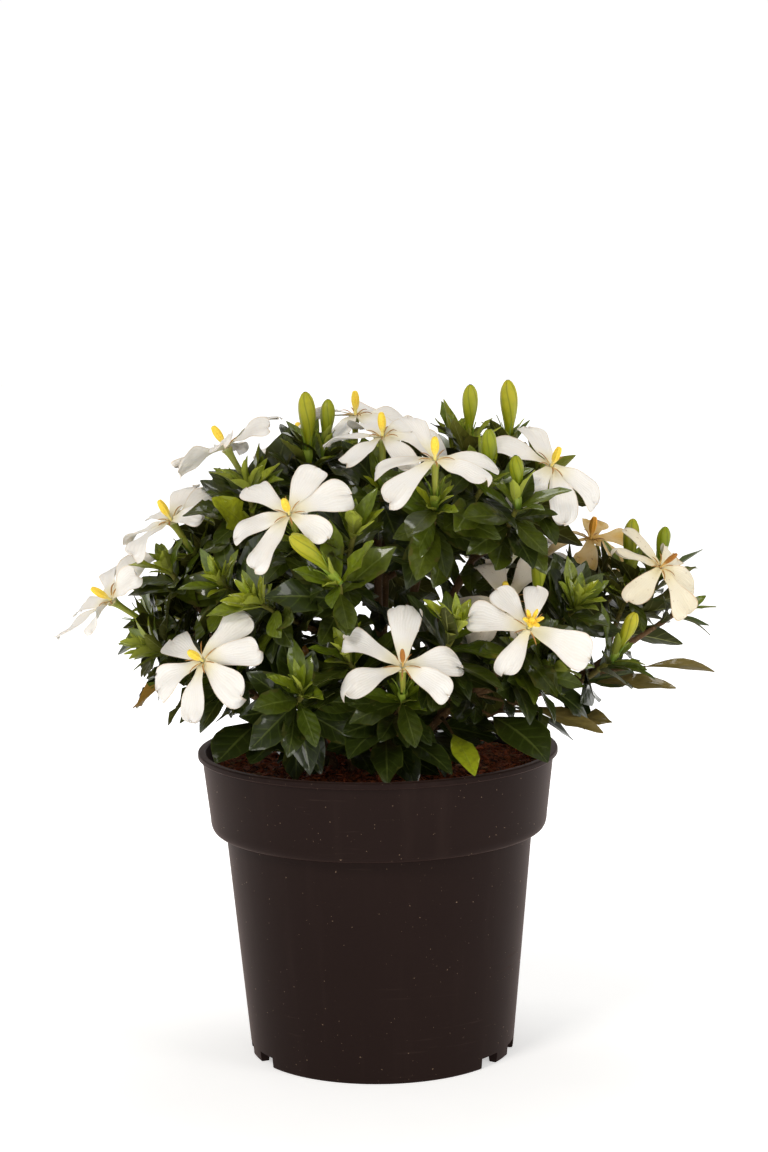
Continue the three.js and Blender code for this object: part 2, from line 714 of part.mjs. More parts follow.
// The corolla of a bloom, one skin: a tube that opens into a throat, with its petals running out of the
// throat's rim. Each petal has five points on either face: its two shoulders, the middle between them, and
// the two corners of its end.
function makeBloom(shoot, draw) {
  const axis = facing(shoot.turn, shoot.rise);
  const { right, above } = across(axis);
  const petals = [...shoot.petals].sort((a, b) => a.turn - b.turn);
  const count = petals.length;
  const next = (k) => (k + 1 < count ? petals[k + 1].turn : petals[0].turn + 360);
  const room = petals.map(({ turn }, k) => (next(k) - turn) / 2); // half the way to the next petal
  const between = petals.map(({ turn }, k) => turn + room[k]);
  const around = (radius, height) => between.map((turn) => vec(shoot.at)
    .addScaledVector(right, radius * Math.cos(rad(turn)))
    .addScaledVector(above, radius * Math.sin(rad(turn)))
    .addScaledVector(axis, height));

  const points = [];
  const faces = [];
  const put = (list) => list.map((p) => points.push(p) - 1);
  const raised = (list, by) => put(list.map((p) => p.clone().addScaledVector(axis, by)));
  const both = (list) => [raised(list, PETAL.thickness / 2), raised(list, -PETAL.thickness / 2)];
  const [rimTop, rimUnder] = both(around(BLOOM.rimRadius, 0));
  const neck = put(around(BLOOM.neckRadius, -BLOOM.neckDepth));
  const foot = put(around(BLOOM.tubeRadius, -BLOOM.tube));
  const [centre] = put([vec(shoot.at)]);
  petals.forEach((one, k) => {
    const before = (k + count - 1) % count;
    faces.push([centre, rimTop[before], rimTop[k]]);
    for (const [low, high] of [[neck, rimUnder], [foot, neck]]) {
      faces.push([low[before], low[k], high[k]], [low[before], high[k], high[before]]);
    }
    const surface = petalSurface(shoot, one, [room[before], room[k]], draw);
    const { shoulder, endShare } = PETAL;
    const [top, under] = both([
      surface(shoulder, -1), surface(shoulder, 0), surface(shoulder, 1),
      surface(1, -endShare), surface(1, endShare),
    ]);
    const skin = (start, end, [a, m, b, c, d]) => [
      [end, start, m], [end, m, b], [start, a, m], [b, m, d], [m, c, d], [m, a, c],
    ];
    faces.push(...skin(rimTop[before], rimTop[k], top));
    faces.push(...skin(rimUnder[before], rimUnder[k], under).map((face) => face.reverse()));
    const outline = ([a, , b, c, d], start, end) => [start, a, c, d, b, end];
    const high = outline(top, rimTop[before], rimTop[k]);
    const low = outline(under, rimUnder[before], rimUnder[k]);
    for (let i = 0; i + 1 < high.length; i += 1) {
      faces.push([high[i + 1], high[i], low[i]], [high[i + 1], low[i], low[i + 1]]);
    }
  });
  for (let i = 1; i + 1 < count; i += 1) faces.push([foot[0], foot[i + 1], foot[i]]);
  return solidOf(geometryFrom(points, faces));
}

function makePistil(shoot) {
  return solidOf(turned(vec(shoot.at), facing(shoot.turn, shoot.rise), PISTIL.rows, PISTIL.sides));
}

// A twig with what it ends in, the calyx under a bloom or a bud.
function twigSolid(shoot, path) {
  const axis = facing(shoot.turn, shoot.rise);
  const sides = shoot.kind === "bud" ? BUD.sides : TWIG.sides;
  const budRadius = BUD.slim + BUD.swell * shoot.length;
  const rows = {
    bloom: [[0, TWIG.radius], [CALYX.length, CALYX.radius]],
    bud: BUD.profile.map(([along, share]) => [along * shoot.length, share * budRadius]),
    tip: [[0, TWIG.radius]],
    sprig: [[0, TWIG.radius]],
  }[shoot.kind];
  const wood = path.points.slice(0, -1).map((p) => ring(p, path.chord, TWIG.radius, sides, path.right));
  return solidOf(loft([...wood, ...turnedRings(path.end, axis, rows, sides, path.right)]));
}

// The bare wood of one stem, its twigs, its calyxes and its buds.
function woodOf(stem) {
  const trunk = stemPath(stem);
  const twigs = stem.shoots.map((shoot, i) => twigPath(shoot, i, trunk));
  const parts = stem.shoots.map((shoot, i) => twigSolid(shoot, twigs[i]));
  parts.push(stemSolid(trunk));
  return { trunk, twigs, solid: wasm.Manifold.union(parts) };
}

// ---------------------------------------------------------------- soil
// The compost, filling the pot to just under its lip, with a plain hole for each stem.
function makeSoil() {
  const { level, mound, clearance } = SOIL;
  const edge = insideWall(clearance).reverse();
  const [wallRadius, wallHeight] = insideWall(clearance)[0];
  const topRadius = POT.rimRadius - POT.lipOverhang - POT.wall - clearance;
  const brim = wallRadius + ((topRadius - wallRadius) * (level - wallHeight)) / (POT.height - wallHeight);
  const profile = [
    [0, edge[0][1]], ...edge, [brim, level], [SOIL.bendRadius, level + SOIL.bendHeight], [0, level + mound],
  ].map(([radius, height]) => new THREE.Vector2(radius, height));
  const body = new THREE.LatheGeometry(profile, POT.sides).rotateX(Math.PI / 2);
  const at = body.getAttribute("position");
  for (let i = 0; i < at.count; i += 1) {
    const [x, y, z] = [at.getX(i), at.getY(i), at.getZ(i)];
    if (z < level || Math.abs(Math.hypot(x, y) - SOIL.bendRadius) > 1) continue;
    at.setZ(i, z + SOIL.relief * Math.sin(0.31 * x + 1.7) * Math.cos(0.27 * y - 0.6)); // uneven, by two waves
  }
  let soil = solidOf(body);
  for (const stem of STEMS) {
    const foot = new THREE.Vector3(stem.foot[0], stem.foot[1], level - SOIL.holeDepth);
    const radius = STEM.footRadius + STEM.holeGap;
    const rows = [[0, radius], [SOIL.holeDepth + 2 * mound, radius]];
    const hole = loft(turnedRings(foot, UP, rows, STEM.sides, stemPath(stem).right));
    soil = soil.subtract(solidOf(hole));
  }
  return soil;
}

// ---------------------------------------------------------------- putting it together
// Whether two solids' boxes come within the gap.
const near = (a, b) => {
  const [p, q] = [a.boundingBox(), b.boundingBox()];
  return [0, 1, 2].every((k) => p.min[k] - GAP < q.max[k] && q.min[k] - GAP < p.max[k]);
};
const parted = (a, b) => !near(a, b) || a.minGap(b, GAP) >= GAP * 0.9;
const touches = (a, b) => near(a, b) && !a.intersect(b).isEmpty();
const airOver = (shoot) => {
  const axis = facing(shoot.turn, shoot.rise);
  return solidOf(turned(vec(shoot.at), axis, BLOOM.air, BLOOM.airSides));
};

const gardenia = new THREE.Group();
const pot = makePot();
const soil = makeSoil();
gardenia.add(meshOf("pot", pot, MATERIALS.pot), meshOf("soil", soil, MATERIALS.soil));

const petalDraw = drawsFrom(20);
const blooms = STEMS.flatMap((stem) => stem.shoots).filter((shoot) => shoot.kind === "bloom");
const flowers = blooms.flatMap((shoot, i) => {
  const number = String(i + 1).padStart(2, "0");
  const corolla = makeBloom(shoot, petalDraw);
  const pistil = makePistil(shoot);
  gardenia.add(meshOf("bloom_" + number, corolla, shoot.aged ? MATERIALS.agedPetal : MATERIALS.petal));
  gardenia.add(meshOf("pistil_" + number, pistil, MATERIALS.pistil));
  return [corolla, pistil, airOver(shoot)];
});

// Leaves go on stem by stem, each in the first way that it is clear of all that isn't its own stem, and that
// all but its root is clear of its own stem too.
const woods = STEMS.map(woodOf);
const grown = STEMS.map(() => []);
STEMS.forEach((stem, s) => {
  const draw = drawsFrom(1000 + 37 * s);
  const { trunk, twigs, solid: wood } = woods[s];
  const wanted = [
    ...stem.leaves.map((leaf) => loneLeaf(leaf, trunk)),
    ...stem.shoots.flatMap((shoot, i) => whorlLeaves(shoot, twigs[i], draw)),
    ...lowLeaves(trunk, draw),
  ];
  const strangers = STEMS.flatMap((_, k) => (k === s ? [] : [woods[k].solid, ...grown[k]]));
  const others = [pot, soil, ...flowers, ...strangers];
  for (const ways of wanted) {
    const way = ways.find((leaf) => {
      const outer = leafBlade(outerPart(leaf));
      if ([wood, ...grown[s]].some((own) => touches(outer, own))) return false;
      const whole = leafBlade(leaf);
      return others.every((other) => parted(whole, other));
    });
    if (way) grown[s].push(leafBlade(way));
  }
});
STEMS.forEach((stem, s) => {
  const whole = wasm.Manifold.union([woods[s].solid, ...grown[s]]);
  gardenia.add(meshOf("stem_" + stem.name, whole, MATERIALS.foliage));
});

export default gardenia;
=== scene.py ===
"""The look of a single-flowered gardenia in a black nursery pot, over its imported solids.

The tables and rules below are the plant's own: the same stems, shoots, leaves and petals as in the solids,
drawn from the same streams, so that each fine piece stands where its solid does. Sizes are in millimetres
until a mesh is made, and -Y is the front.
"""
import math

import bpy
import numpy as np
from mathutils import Matrix, Vector
from mathutils.bvhtree import BVHTree
from mathutils.kdtree import KDTree


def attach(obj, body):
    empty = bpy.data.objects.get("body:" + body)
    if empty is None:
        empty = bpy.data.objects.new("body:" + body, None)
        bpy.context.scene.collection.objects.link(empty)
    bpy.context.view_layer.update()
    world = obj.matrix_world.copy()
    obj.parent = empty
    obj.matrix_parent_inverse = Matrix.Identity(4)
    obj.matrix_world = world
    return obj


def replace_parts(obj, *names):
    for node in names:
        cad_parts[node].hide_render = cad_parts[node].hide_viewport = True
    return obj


MM = 0.001
UP = np.array([0.0, 0.0, 1.0])

# ---------------------------------------------------------------- driving dimensions
POT = dict(
    height=163, rim_radius=95.6, lip_depth=3.6, lip_overhang=2.3,
    collar_foot=120, collar_foot_radius=89.6,
    waist_radius=81.6, base_radius=70.4, wall=1.8, floor_low=4.5, floor_high=6.5,
    pad_radius=13, foot_width=4.4, collar_round=(3.4, 6.6), lip_round=0.9, edge=0.5, sides=192,
)
# Notches between the feet: two broad feet, and small ones at each side.
NOTCH = dict(height=5.6, turn=-4, foot_span=102, span=11, small_feet=3, inside=12, outside=6, below=2)
# The compost's top is a mound, level near the wall, in rings out to its brim.
SOIL = dict(level=152, mound=4, mound_radius=90, level_edge=10, brim=90.5, rings=46, sides=160, rough=0.45)
# The chips on it: how many, how far out their middles and their ends may lie, and how many of them are pale.
CHIPS = dict(count=900, reach=88, edge=90, length=(2.0, 7.5), radius=(0.35, 1.5), pale_share=0.12)
# The youth of wood runs from its foot to its end, from 0, brown bark, to 1, green.
STEM = dict(
    foot_radius=2.9, end_radius=1.9, steps=3, straight=2, upright_share=0.35, inward_share=0.4,
    under_share=0.25, sunk=8, youth=(0.0, 0.25),
)
TWIG = dict(
    foot_radius=1.7, end_radius=1.3, steps=2, fork_step=0.05, lean=0.5, start_share=0.3, end_share=0.35,
    youth=(0.1, 1.0), sprig_youth=(0.1, 0.3),
)
WOOD = dict(points=25, sides=10, stretch=6, knot=0.14, knot_every=9)
STALK = dict(radii=(1.1, 0.6), youth=0.35)  # of a lone leaf
LEAF = dict(
    thickness=0.7, spacing=1.9, arch=0.17, fold=0.22, broad_end=1.35, fullness=0.75,
    size_span=0.32, turn_span=24, lean_span=22, first_share=0.15, low_rise=4, low_droop=34,
    lone_roll=20,
)
LEAF_PLAY = dict(wave=0.8, swing=0.16, curl=0.3)
PETAL = dict(
    length=31, width=17.5, rise=0.1, droop=0.26, twist=12, cup=0.16,
    length_span=0.12, width_span=0.2, rise_span=0.12, droop_span=0.2, twist_span=1, thickness=0.5,
)
# A petal's own unevenness: spans about 0, or a least value and the span over it.
PETAL_PLAY = dict(
    skew=0.16, notch=(0.02, 0.05), roll=0.5, wave=(0.07, 0.12), crumple=(0.03, 0.06), corner=(0.1, 0.4),
)
# A bloom's tube, neck and calyx, and its sepals: how far up the calyx, and their length, width and lean.
BLOOM = dict(
    tube=20, neck_radius=2.1, neck_depth=3, gap=0.35, calyx=8, calyx_sunk=1, calyx_radius=2.3,
    sepals_at=0.9, sepals=(11, 1.5, 20),
)
STAMEN = dict(length=7.5, length_span=0.35, turn_span=16, rise=(1.2, 1.4), foot=(1.6, 0.8), squash=0.6)
SEPAL = dict(count=6, turn_span=20, lean_span=14, length_span=0.5, thickness=0.25, from_axis=1.9)
# The tube and its throat, as heights from the petals' foot with the radii there.
THROAT = (
    (-BLOOM["tube"], 1.45), (-14, 1.5), (-8, 1.6), (-5, 1.8), (-BLOOM["neck_depth"], BLOOM["neck_radius"]),
    (-1.6, 2.5), (-0.7, 2.95), (-0.1, 3.3), (0.15, 2.7), (-0.4, 1.9), (-1.6, 1.0), (-3.2, 0.15),
)
AIR = ((1, 8), (22, 24))  # the cone of air over a bloom, by height and radius
PETAL_AIR = (-5, 3, 0.9)  # and a disc of it about the petals: from, to, and its radius in their lengths
AGES = dict(withered=2.0, cream=1.3, aged=1.0)  # how old a bloom's petals look
PISTIL = dict(length=14, foot=0.4, slim=0.7, swell=1.3, faded=0.62, bow=0.5)
# A bud's sizes, as shares of its length except for slim, sunk and foot_radius, which are in millimetres.
BUD = dict(
    slim=1.6, swell=0.105, bow=0.02, seam=0.085, seam_turns=3.9, ripe=(28, 11),
    calyx=0.2, sunk=1.5, foot_radius=1.4, calyx_width=0.42, sepals_at=0.17, sepals=(0.3, 1.7, 22),
)
BUD_OUTLINE = (
    (0, 0.35), (0.2, 0.35), (0.36, 0.38), (0.48, 0.54), (0.6, 0.7), (0.72, 0.78), (0.82, 0.77), (0.91, 0.64),
    (0.97, 0.42), (1, 0.16),
)
# Half the floor's width, how far out it starts and ends to brighten, and its glow near and far, in metres.
FLOOR = dict(half=6.0, near=0.15, far=0.6, glow=(0.5, 0.95))
# The heights of the sky between which it dims, and its brightness below and above them.
SKY = (0.15, 0.5, 1.02, 0.22)
# Each soft box: name, place in metres, size, power and colour.
LIGHTS = (
    ("key", (-0.75, -1.2, 1.4), (0.5, 0.5), 11, (1.0, 0.96, 0.91)),
    ("fill", (1.15, -0.9, 0.9), (0.5, 0.7), 4.5, (1.0, 0.98, 0.95)),
    ("top", (0.1, 0.5, 1.6), (0.8, 0.6), 6, (1.0, 0.99, 0.97)),
)
# Its place, its turns in radians, its focal length in the photograph's pixels, and its reach in metres.
CAMERA = dict(
    place=(0, -1400, 440), pitch=0.1318, yaw=-0.0034, roll=-0.0162, focal=2676, image_height=1152,
    sensor=36, far=50,
)
# The streams of draws. Those of a stem start at a first seed, and go on by a step for each stem.
SEEDS = dict(
    solid_petals=20, petals=77, soil=4,
    solid_leaves=(1000, 37), fine=(9000, 61), inner=(12000, 53), dress=(500, 29),
)


def bloom(at, turn, rise, petals, **more):
    """An open bloom: its throat, its facing, and each petal as a turn or (turn, lift, size)."""
    full = [p if isinstance(p, tuple) else (p, 0, 1) for p in petals]
    return dict(kind="bloom", at=at, turn=turn, rise=rise, fork=1, petals=full, **more)


def bud(at, turn, rise, length, fork=1, **more):
    return dict(kind="bud", at=at, turn=turn, rise=rise, length=length, fork=fork, **more)


def tip(at, turn, rise, fork=1):
    return dict(kind="tip", at=at, turn=turn, rise=rise, fork=fork)


def sprig(at, turn, rise, fork=1):
    """A tip with slender leaves only."""
    return dict(kind="sprig", at=at, turn=turn, rise=rise, fork=fork)


EVEN = [0, 60, 120, 180, 240, 300]

# Each stem: name, foot in the soil, crown, shoots, and lone leaves as (fork, tip, width).
STEMS = [
    ("left_low", (-24, -17), (-58, -44, 196), [
        bloom((-87, -70, 222), -33, 27, [18, 57, 158, 210, 268, 328]),
        tip((-37, -84, 206), -10, 55, 0.85),
        tip((-112, -32, 222), -75, 25),
    ], [(0.85, (-80, -84, 171), 24), (0.57, (-61, -86, 171), 19)]),
    ("left", (-27, 4), (-82, -2, 226), [
        bloom((-138, -10, 245), -61, 35, [
            (38, 0.35, 0.85), (86, 0.1, 1.05), (140, 0.12, 1), (200, 0.22, 1), (246, 0.3, 1),
            (306, 0.45, 0.8),
        ]),
        tip((-108, -14, 262), -60, 60),
        tip((-112, 22, 238), -110, 40, 0.77),
    ], []),
    ("left_high", (-16, 12), (-66, 0, 258), [
        bloom((-106, -5, 286), -52, 55, [
            (6, 0.35, 0.9), (70, 0, 1.06), (116, 0.22, 1), (168, 0, 0.9), 218, (276, 0.3, 1),
        ]),
        tip((-78, -38, 256), -50, 50, 0.69),
        tip((-64, -26, 304), -40, 70),
        tip((-86, 32, 282), -120, 50, 0.85),
    ], []),
    ("upper_left", (-9, 4), (-44, 8, 288), [
        bloom((-76, -10, 324), -100, 60, [
            (12, 0.2, 1), (66, 0.1, 1), (124, 0.25, 1), (188, 0.1, 1), (250, 0.3, 1), (312, 0.25, 1),
        ]),
        bud((-34, -6, 315), -10, 84, 38),
        bud((-26, 2, 319), 30, 78, 30),
        bloom((-40, 68, 318), 200, 70, [10, 70, 130, 190, 250, 310], size=0.9),
    ], []),
    ("front_left", (-13, -22), (-27, -50, 246), [
        bloom((-42, -76, 296), -12, 38, [28, 71, 143, 197, 243, (328, 0.1, 0.75)]),
        bud((-18, -82, 263), -64, 44, 36, 0.85),
        tip((-10, -62, 284), 0, 70),
        tip((-58, -66, 250), -50, 40, 0.77),
    ], []),
    ("top", (1, 9), (2, 2, 286), [
        bloom((5, -30, 330), 0, 74, [178, 236, 296, 354, (42, 0.2, 1), 112]),
        bloom((-9, 30, 337), 10, 80, EVEN),
        tip((44, 14, 322), 20, 74),
    ], []),
    ("top_right", (6, -8), (29, -24, 280), [
        bloom((31, -66, 321), 0, 64, [2, (116, 0.5, 0.95), 175, 226, 324]),
        bud((50, -10, 323), 10, 80, 33),
        bud((57, -46, 307), 10, 72, 30),
    ], []),
    ("right_high", (14, 5), (60, -6, 278), [
        bloom((92, -22, 313), 26, 47, [87, 142, 218, 266, 318]),
        bud((71, 2, 318), 0, 84, 39),
        bud((73, -52, 296), -12, 76, 27, 0.85),
        tip((88, 32, 300), 120, 60),
    ], []),
    ("right", (23, 8), (92, 14, 222), [
        bloom((118, 49, 266), 20, 72, EVEN, aged=True, withered=True, size=0.85),
        bud((135, 18, 247), 60, 84, 34),
        tip((104, -26, 240), 30, 60, 0.85),
    ], []),
    ("far_right", (26, -5), (118, -12, 203), [
        bloom((150, -4, 257), 45, 37, [100, 146, 205, 282, 328, 22], aged=True, faded=True, size=0.88),
        bud((153, 30, 247), 80, 82, 28),
        bud((123, -26, 212), 70, 64, 28, 0.77, pale=True),
        sprig((159, 0, 232), 80, 30),
    ], [(1, (176, -18, 204), 12), (0.85, (154, -30, 195), 15), (0.5, (119, -44, 180), 13)]),
    ("front", (-1, -29), (8, -58, 188), [
        bloom((13, -92, 221), 0, 46, [
            10, (87, 0.4, 1), (156, 0.4, 1.05), (208, 0.18, 1), (326, 0.12, 0.88),
        ], faded=True),
        tip((40, -80, 236), 15, 60),
        tip((-14, -76, 222), -15, 55),
    ], [(0.92, (-12, -100, 179), 18), (0.69, (4, -94, 165), 17), (0.72, (34, -94, 168), 15)]),
    ("front_right", (17, -22), (56, -46, 204), [
        bloom((76, -84, 238), 8, 30, [
            (73, 0, 0.8), (121, 0, 0.85), 162, (236, 0.1, 0.85), (332, 0, 1.05),
        ], split=True),
        bloom((68, -38, 244), -10, 62, [(62, 0.5, 1), (118, 0.5, 1), 184, 240, (296, 0, 0.8)], cream=True),
        bud((82, -42, 241), 15, 76, 30),
        tip((92, -62, 214), 40, 40),
    ], [(0.75, (82, -90, 174), 27), (0.54, (46, -90, 166), 13), (0.85, (112, -62, 177), 15)]),
    ("back_left", (-17, 25), (-62, 58, 224), [
        bloom((-92, 92, 252), 215, 40, [5, 66, 122, 184, 243, 300]),
        bud((-60, 98, 262), 200, 64, 34),
        tip((-112, 62, 226), 240, 35),
        tip((-60, 66, 290), 220, 65),
    ], []),
    ("back", (2, 29), (6, 66, 248), [
        bloom((10, 108, 268), 178, 44, [15, 72, 138, 190, 256, 318]),
        bloom((50, 84, 298), 160, 60, [0, 58, 118, 185, 236, 302]),
        tip((4, 80, 304), 180, 68),
    ], []),
    ("back_right", (19, 24), (66, 60, 232), [
        bloom((84, 94, 254), 150, 38, [22, 80, 140, 198, 262, 325]),
        bud((76, 56, 280), 140, 74, 32),
        tip((116, 68, 236), 125, 35),
    ], []),
]

# Whorls down a shoot from its tip: leaves, how far back, lean, length, width, and youth from 0, old, to 1.
WHORLS = dict(
    bloom=[(3, 1, 66, 42, 20, 0.12)],
    bud=[],
    tip=[(3, 1, 32, 28, 12, 0.85), (3, 12, 66, 45, 22, 0.12)],
    sprig=[(4, 1, 42, 27, 8, 0.3)],
)
# Old leaves low on a stem: how far up it, turn from outwards, length, width.
LOW_LEAVES = [(0.12, 34, 45, 22), (0.36, -38, 46, 22), (0.58, 8, 45, 22), (0.84, -70, 42, 20)]
# The ways that a solid leaf may have been bent clear of the others: turned, leaned, shortened.
BENDS = [
    (0, 0, 1), (22, 0, 1), (-22, 0, 1), (0, -16, 0.95), (0, 16, 0.9),
    (38, -8, 0.85), (-38, -8, 0.85), (0, -24, 0.75), (24, 12, 0.7), (-24, 12, 0.7),
]

# The finer leaves that the solids leave out, as in WHORLS. A negative distance back is past the tip.
FINE_WHORLS = dict(
    bloom=[
        (5, 0.5, 22, 17, 4.2, 0.9), (4, 2.5, 42, 25, 8, 0.55), (4, 8, 58, 31, 12, 0.25),
        (3, 15, 66, 34, 14, 0.1), (3, 23, 72, 35, 15, 0),
    ],
    bud=[
        (4, 0.5, 30, 21, 5.5, 0.8), (4, 3.5, 50, 28, 10, 0.4), (3, 10, 62, 33, 14, 0.12),
        (3, 18, 72, 35, 15, 0),
    ],
    tip=[
        (4, -3, 9, 13, 3.2, 1), (5, -1, 18, 19, 4.6, 0.95), (4, 2, 34, 24, 7.5, 0.6),
        (4, 8, 54, 30, 12, 0.25), (3, 16, 66, 34, 14, 0.08), (3, 24, 74, 35, 15, 0),
    ],
    sprig=[(4, -1, 26, 17, 4.5, 0.5), (2, 9, 60, 26, 7, 0.15)],
)
# How far the finer leaves vary from their whorls. Leaves inside the crown vary in their share of the path,
# their lean and their size, each by a least value and the span over it.
FINE_LEAF = dict(turn_span=50, lean_span=34, size_span=0.5, spacing=1.1, first_share=0.05)
INNER_LEAF = dict(length=33, width=14, youth=0.05, share=(0.2, 0.75), lean=(48, 44), size=(0.7, 0.5))
APART = dict(old=1.8, young=0.8, inner=2.8)  # how far a leaf keeps from the others
CLEAR = dict(hard=2.0, soil=3)  # and from blooms and the pot, and over the compost
LONGEST_LEAF = 42
SMALL_LEAF = 22  # a leaf shorter than this has a coarser grid
LEAF_GRIDS = dict(small=(8, 5), large=(12, 7))  # rows and columns
BLADE_SLIMNESS = 2.9  # a lone leaf's length at most, in widths
BLADE_THICKNESS = 0.45
LOW_SHADE = (245, 50)  # below this height leaves look older and darker with painted shade, fully so this much lower
SLIM = (0.8, 0.64)  # a solid's leaf stands for several, so the fine one is smaller: its length, its width
INNER_TRIES = 36  # how many older leaves are tried along a stem, and fewer along the open ones
OPEN_STEMS = dict(right=8, far_right=2, left_low=24, left=30)
# Past the pot's wall no fine leaf hangs below a height, which rises by a slope from a radius on: the radius,
# the height, the slope, and the radius of the wall.
SKIRT = (100, 170, 0.6, 92)

# Leaves that differ from the rest, by a point of the plant that they are nearest to.
SPECIAL_LEAVES = [
    ((38, -80, 170), "yellow"), ((-120, -70, 205), "scorched"), ((-40, -60, 220), "reddish"),
    ((165, -17, 206), "worn"), ((143, -27, 197), "worn"), ((105, -56, 183), "worn"),
    ((112, -37, 187), "worn"),
]
# How they look: youth, shade where it isn't drawn, and blemish, which is below 0 for a worn leaf.
SPECIAL_LOOKS = dict(
    yellow=(0.95, 0.3, 0.12), lime=(1.0, 0.8, 0.0), scorched=(0.3, None, 0.7), reddish=(0.1, None, 1.0),
    worn=(0.1, None, -1.0),
)

# One pale leaf by the blooms: its stem, which of its shoots, how far up the twig, its tip and its width.
PALE_LEAF = ("left_high", 2, 0.55, (-78, -52, 296), 16)
PALE_ROLL = 65  # how far it is turned to face the front

# ---------------------------------------------------------------- small tools


def new_object(name, data):
    made = bpy.data.objects.new(name, data)
    bpy.context.scene.collection.objects.link(made)
    return made


def new_mesh(name, points, faces):
    mesh = bpy.data.meshes.new(name)
    mesh.from_pydata(points, [], faces)
    return mesh


def draws_from(seed):
    """A stream of draws from 0 to 1, the same as the solids' own."""
    factor, step, span = 1664525, 1013904223, 2**32
    state = seed

    def draw():
        nonlocal state
        state = (state * factor + step) % span
        return state / span

    return draw


def stem_draws(kind, stem):
    first, step = SEEDS[kind]
    return draws_from(first + step * stem)


def vary(draw, span):
    return span * (draw() - 0.5)


def drawn(draw, least_and_span):
    least, span = least_and_span
    return least + span * draw()


def point(values):
    return np.array(values, float)


def unit(v):
    return v / np.linalg.norm(v)


def cos(degrees):
    return math.cos(math.radians(degrees))


def sin(degrees):
    return math.sin(math.radians(degrees))


def facing(turn, rise):
    """The unit vector with that turn about the pot, from the front, and rise above the level."""
    return point((sin(turn) * cos(rise), -cos(turn) * cos(rise), sin(rise)))


def pose(shoot):
    """A shoot's place, and the way that it faces."""
    return point(shoot["at"]), facing(shoot["turn"], shoot["rise"])


def upright(along):
    return unit(UP - along * UP.dot(along))


def across(axis):
    """Two unit vectors square to an axis: to its right, as seen from where it points, and up."""
    level = np.cross(UP, axis)
    right = level - axis * level.dot(axis)
    right = point((1, 0, 0)) if np.linalg.norm(right) < 0.05 else unit(right)
    return right, unit(np.cross(axis, right))


def spun(axis, degrees):
    """The unit vector square to an axis, at that turn about it."""
    right, above = across(axis)
    return right * cos(degrees) + above * sin(degrees)


def turned(v, axis, degrees):
    """v turned about an axis."""
    return v * cos(degrees) + np.cross(axis, v) * sin(degrees) + axis * axis.dot(v) * (1 - cos(degrees))


def smooth(x):
    """Eases from 0 to 1."""
    x = np.clip(x, 0, 1)
    return x * x * (3 - 2 * x)


class Path:
    """A stem's or twig's line: a cubic curve as the straight pieces of its solid."""

    def __init__(self, handles, steps):
        self.handles = [point(h) for h in handles]
        self.steps = steps
        self.points = [self.curve(i / steps) for i in range(steps + 1)]
        self.start, self.end = self.points[0], self.points[-1]
        self.length = float(np.linalg.norm(self.end - self.start))

    def curve(self, t):
        a, b, c, d = self.handles
        return a * (1 - t) ** 3 + b * 3 * t * (1 - t) ** 2 + c * 3 * t * t * (1 - t) + d * t**3

    def at(self, t):
        k = min(self.steps - 1, max(0, math.floor(t * self.steps)))
        share = t * self.steps - k
        return self.points[k] * (1 - share) + self.points[k + 1] * share

    def heading(self, t):
        a, b, c, d = self.handles
        t = min(1, max(0, t))
        return unit((b - a) * (1 - t) ** 2 + (c - b) * 2 * t * (1 - t) + (d - c) * t * t)

    def rounded(self, count, window=0.16):
        """Points along the line, with its corners rounded over a share of its length."""
        offsets = np.linspace(-window / 2, window / 2, 5)
        line = []
        for t in np.linspace(0, 1, count):
            reach = min(1, t / (window / 2), (1 - t) / (window / 2))
            line.append(np.mean([self.at(float(t + o * reach)) for o in offsets], axis=0))
        return np.array(line)


SAME_POINT = 1e-8  # corners closer than this, in metres, are one


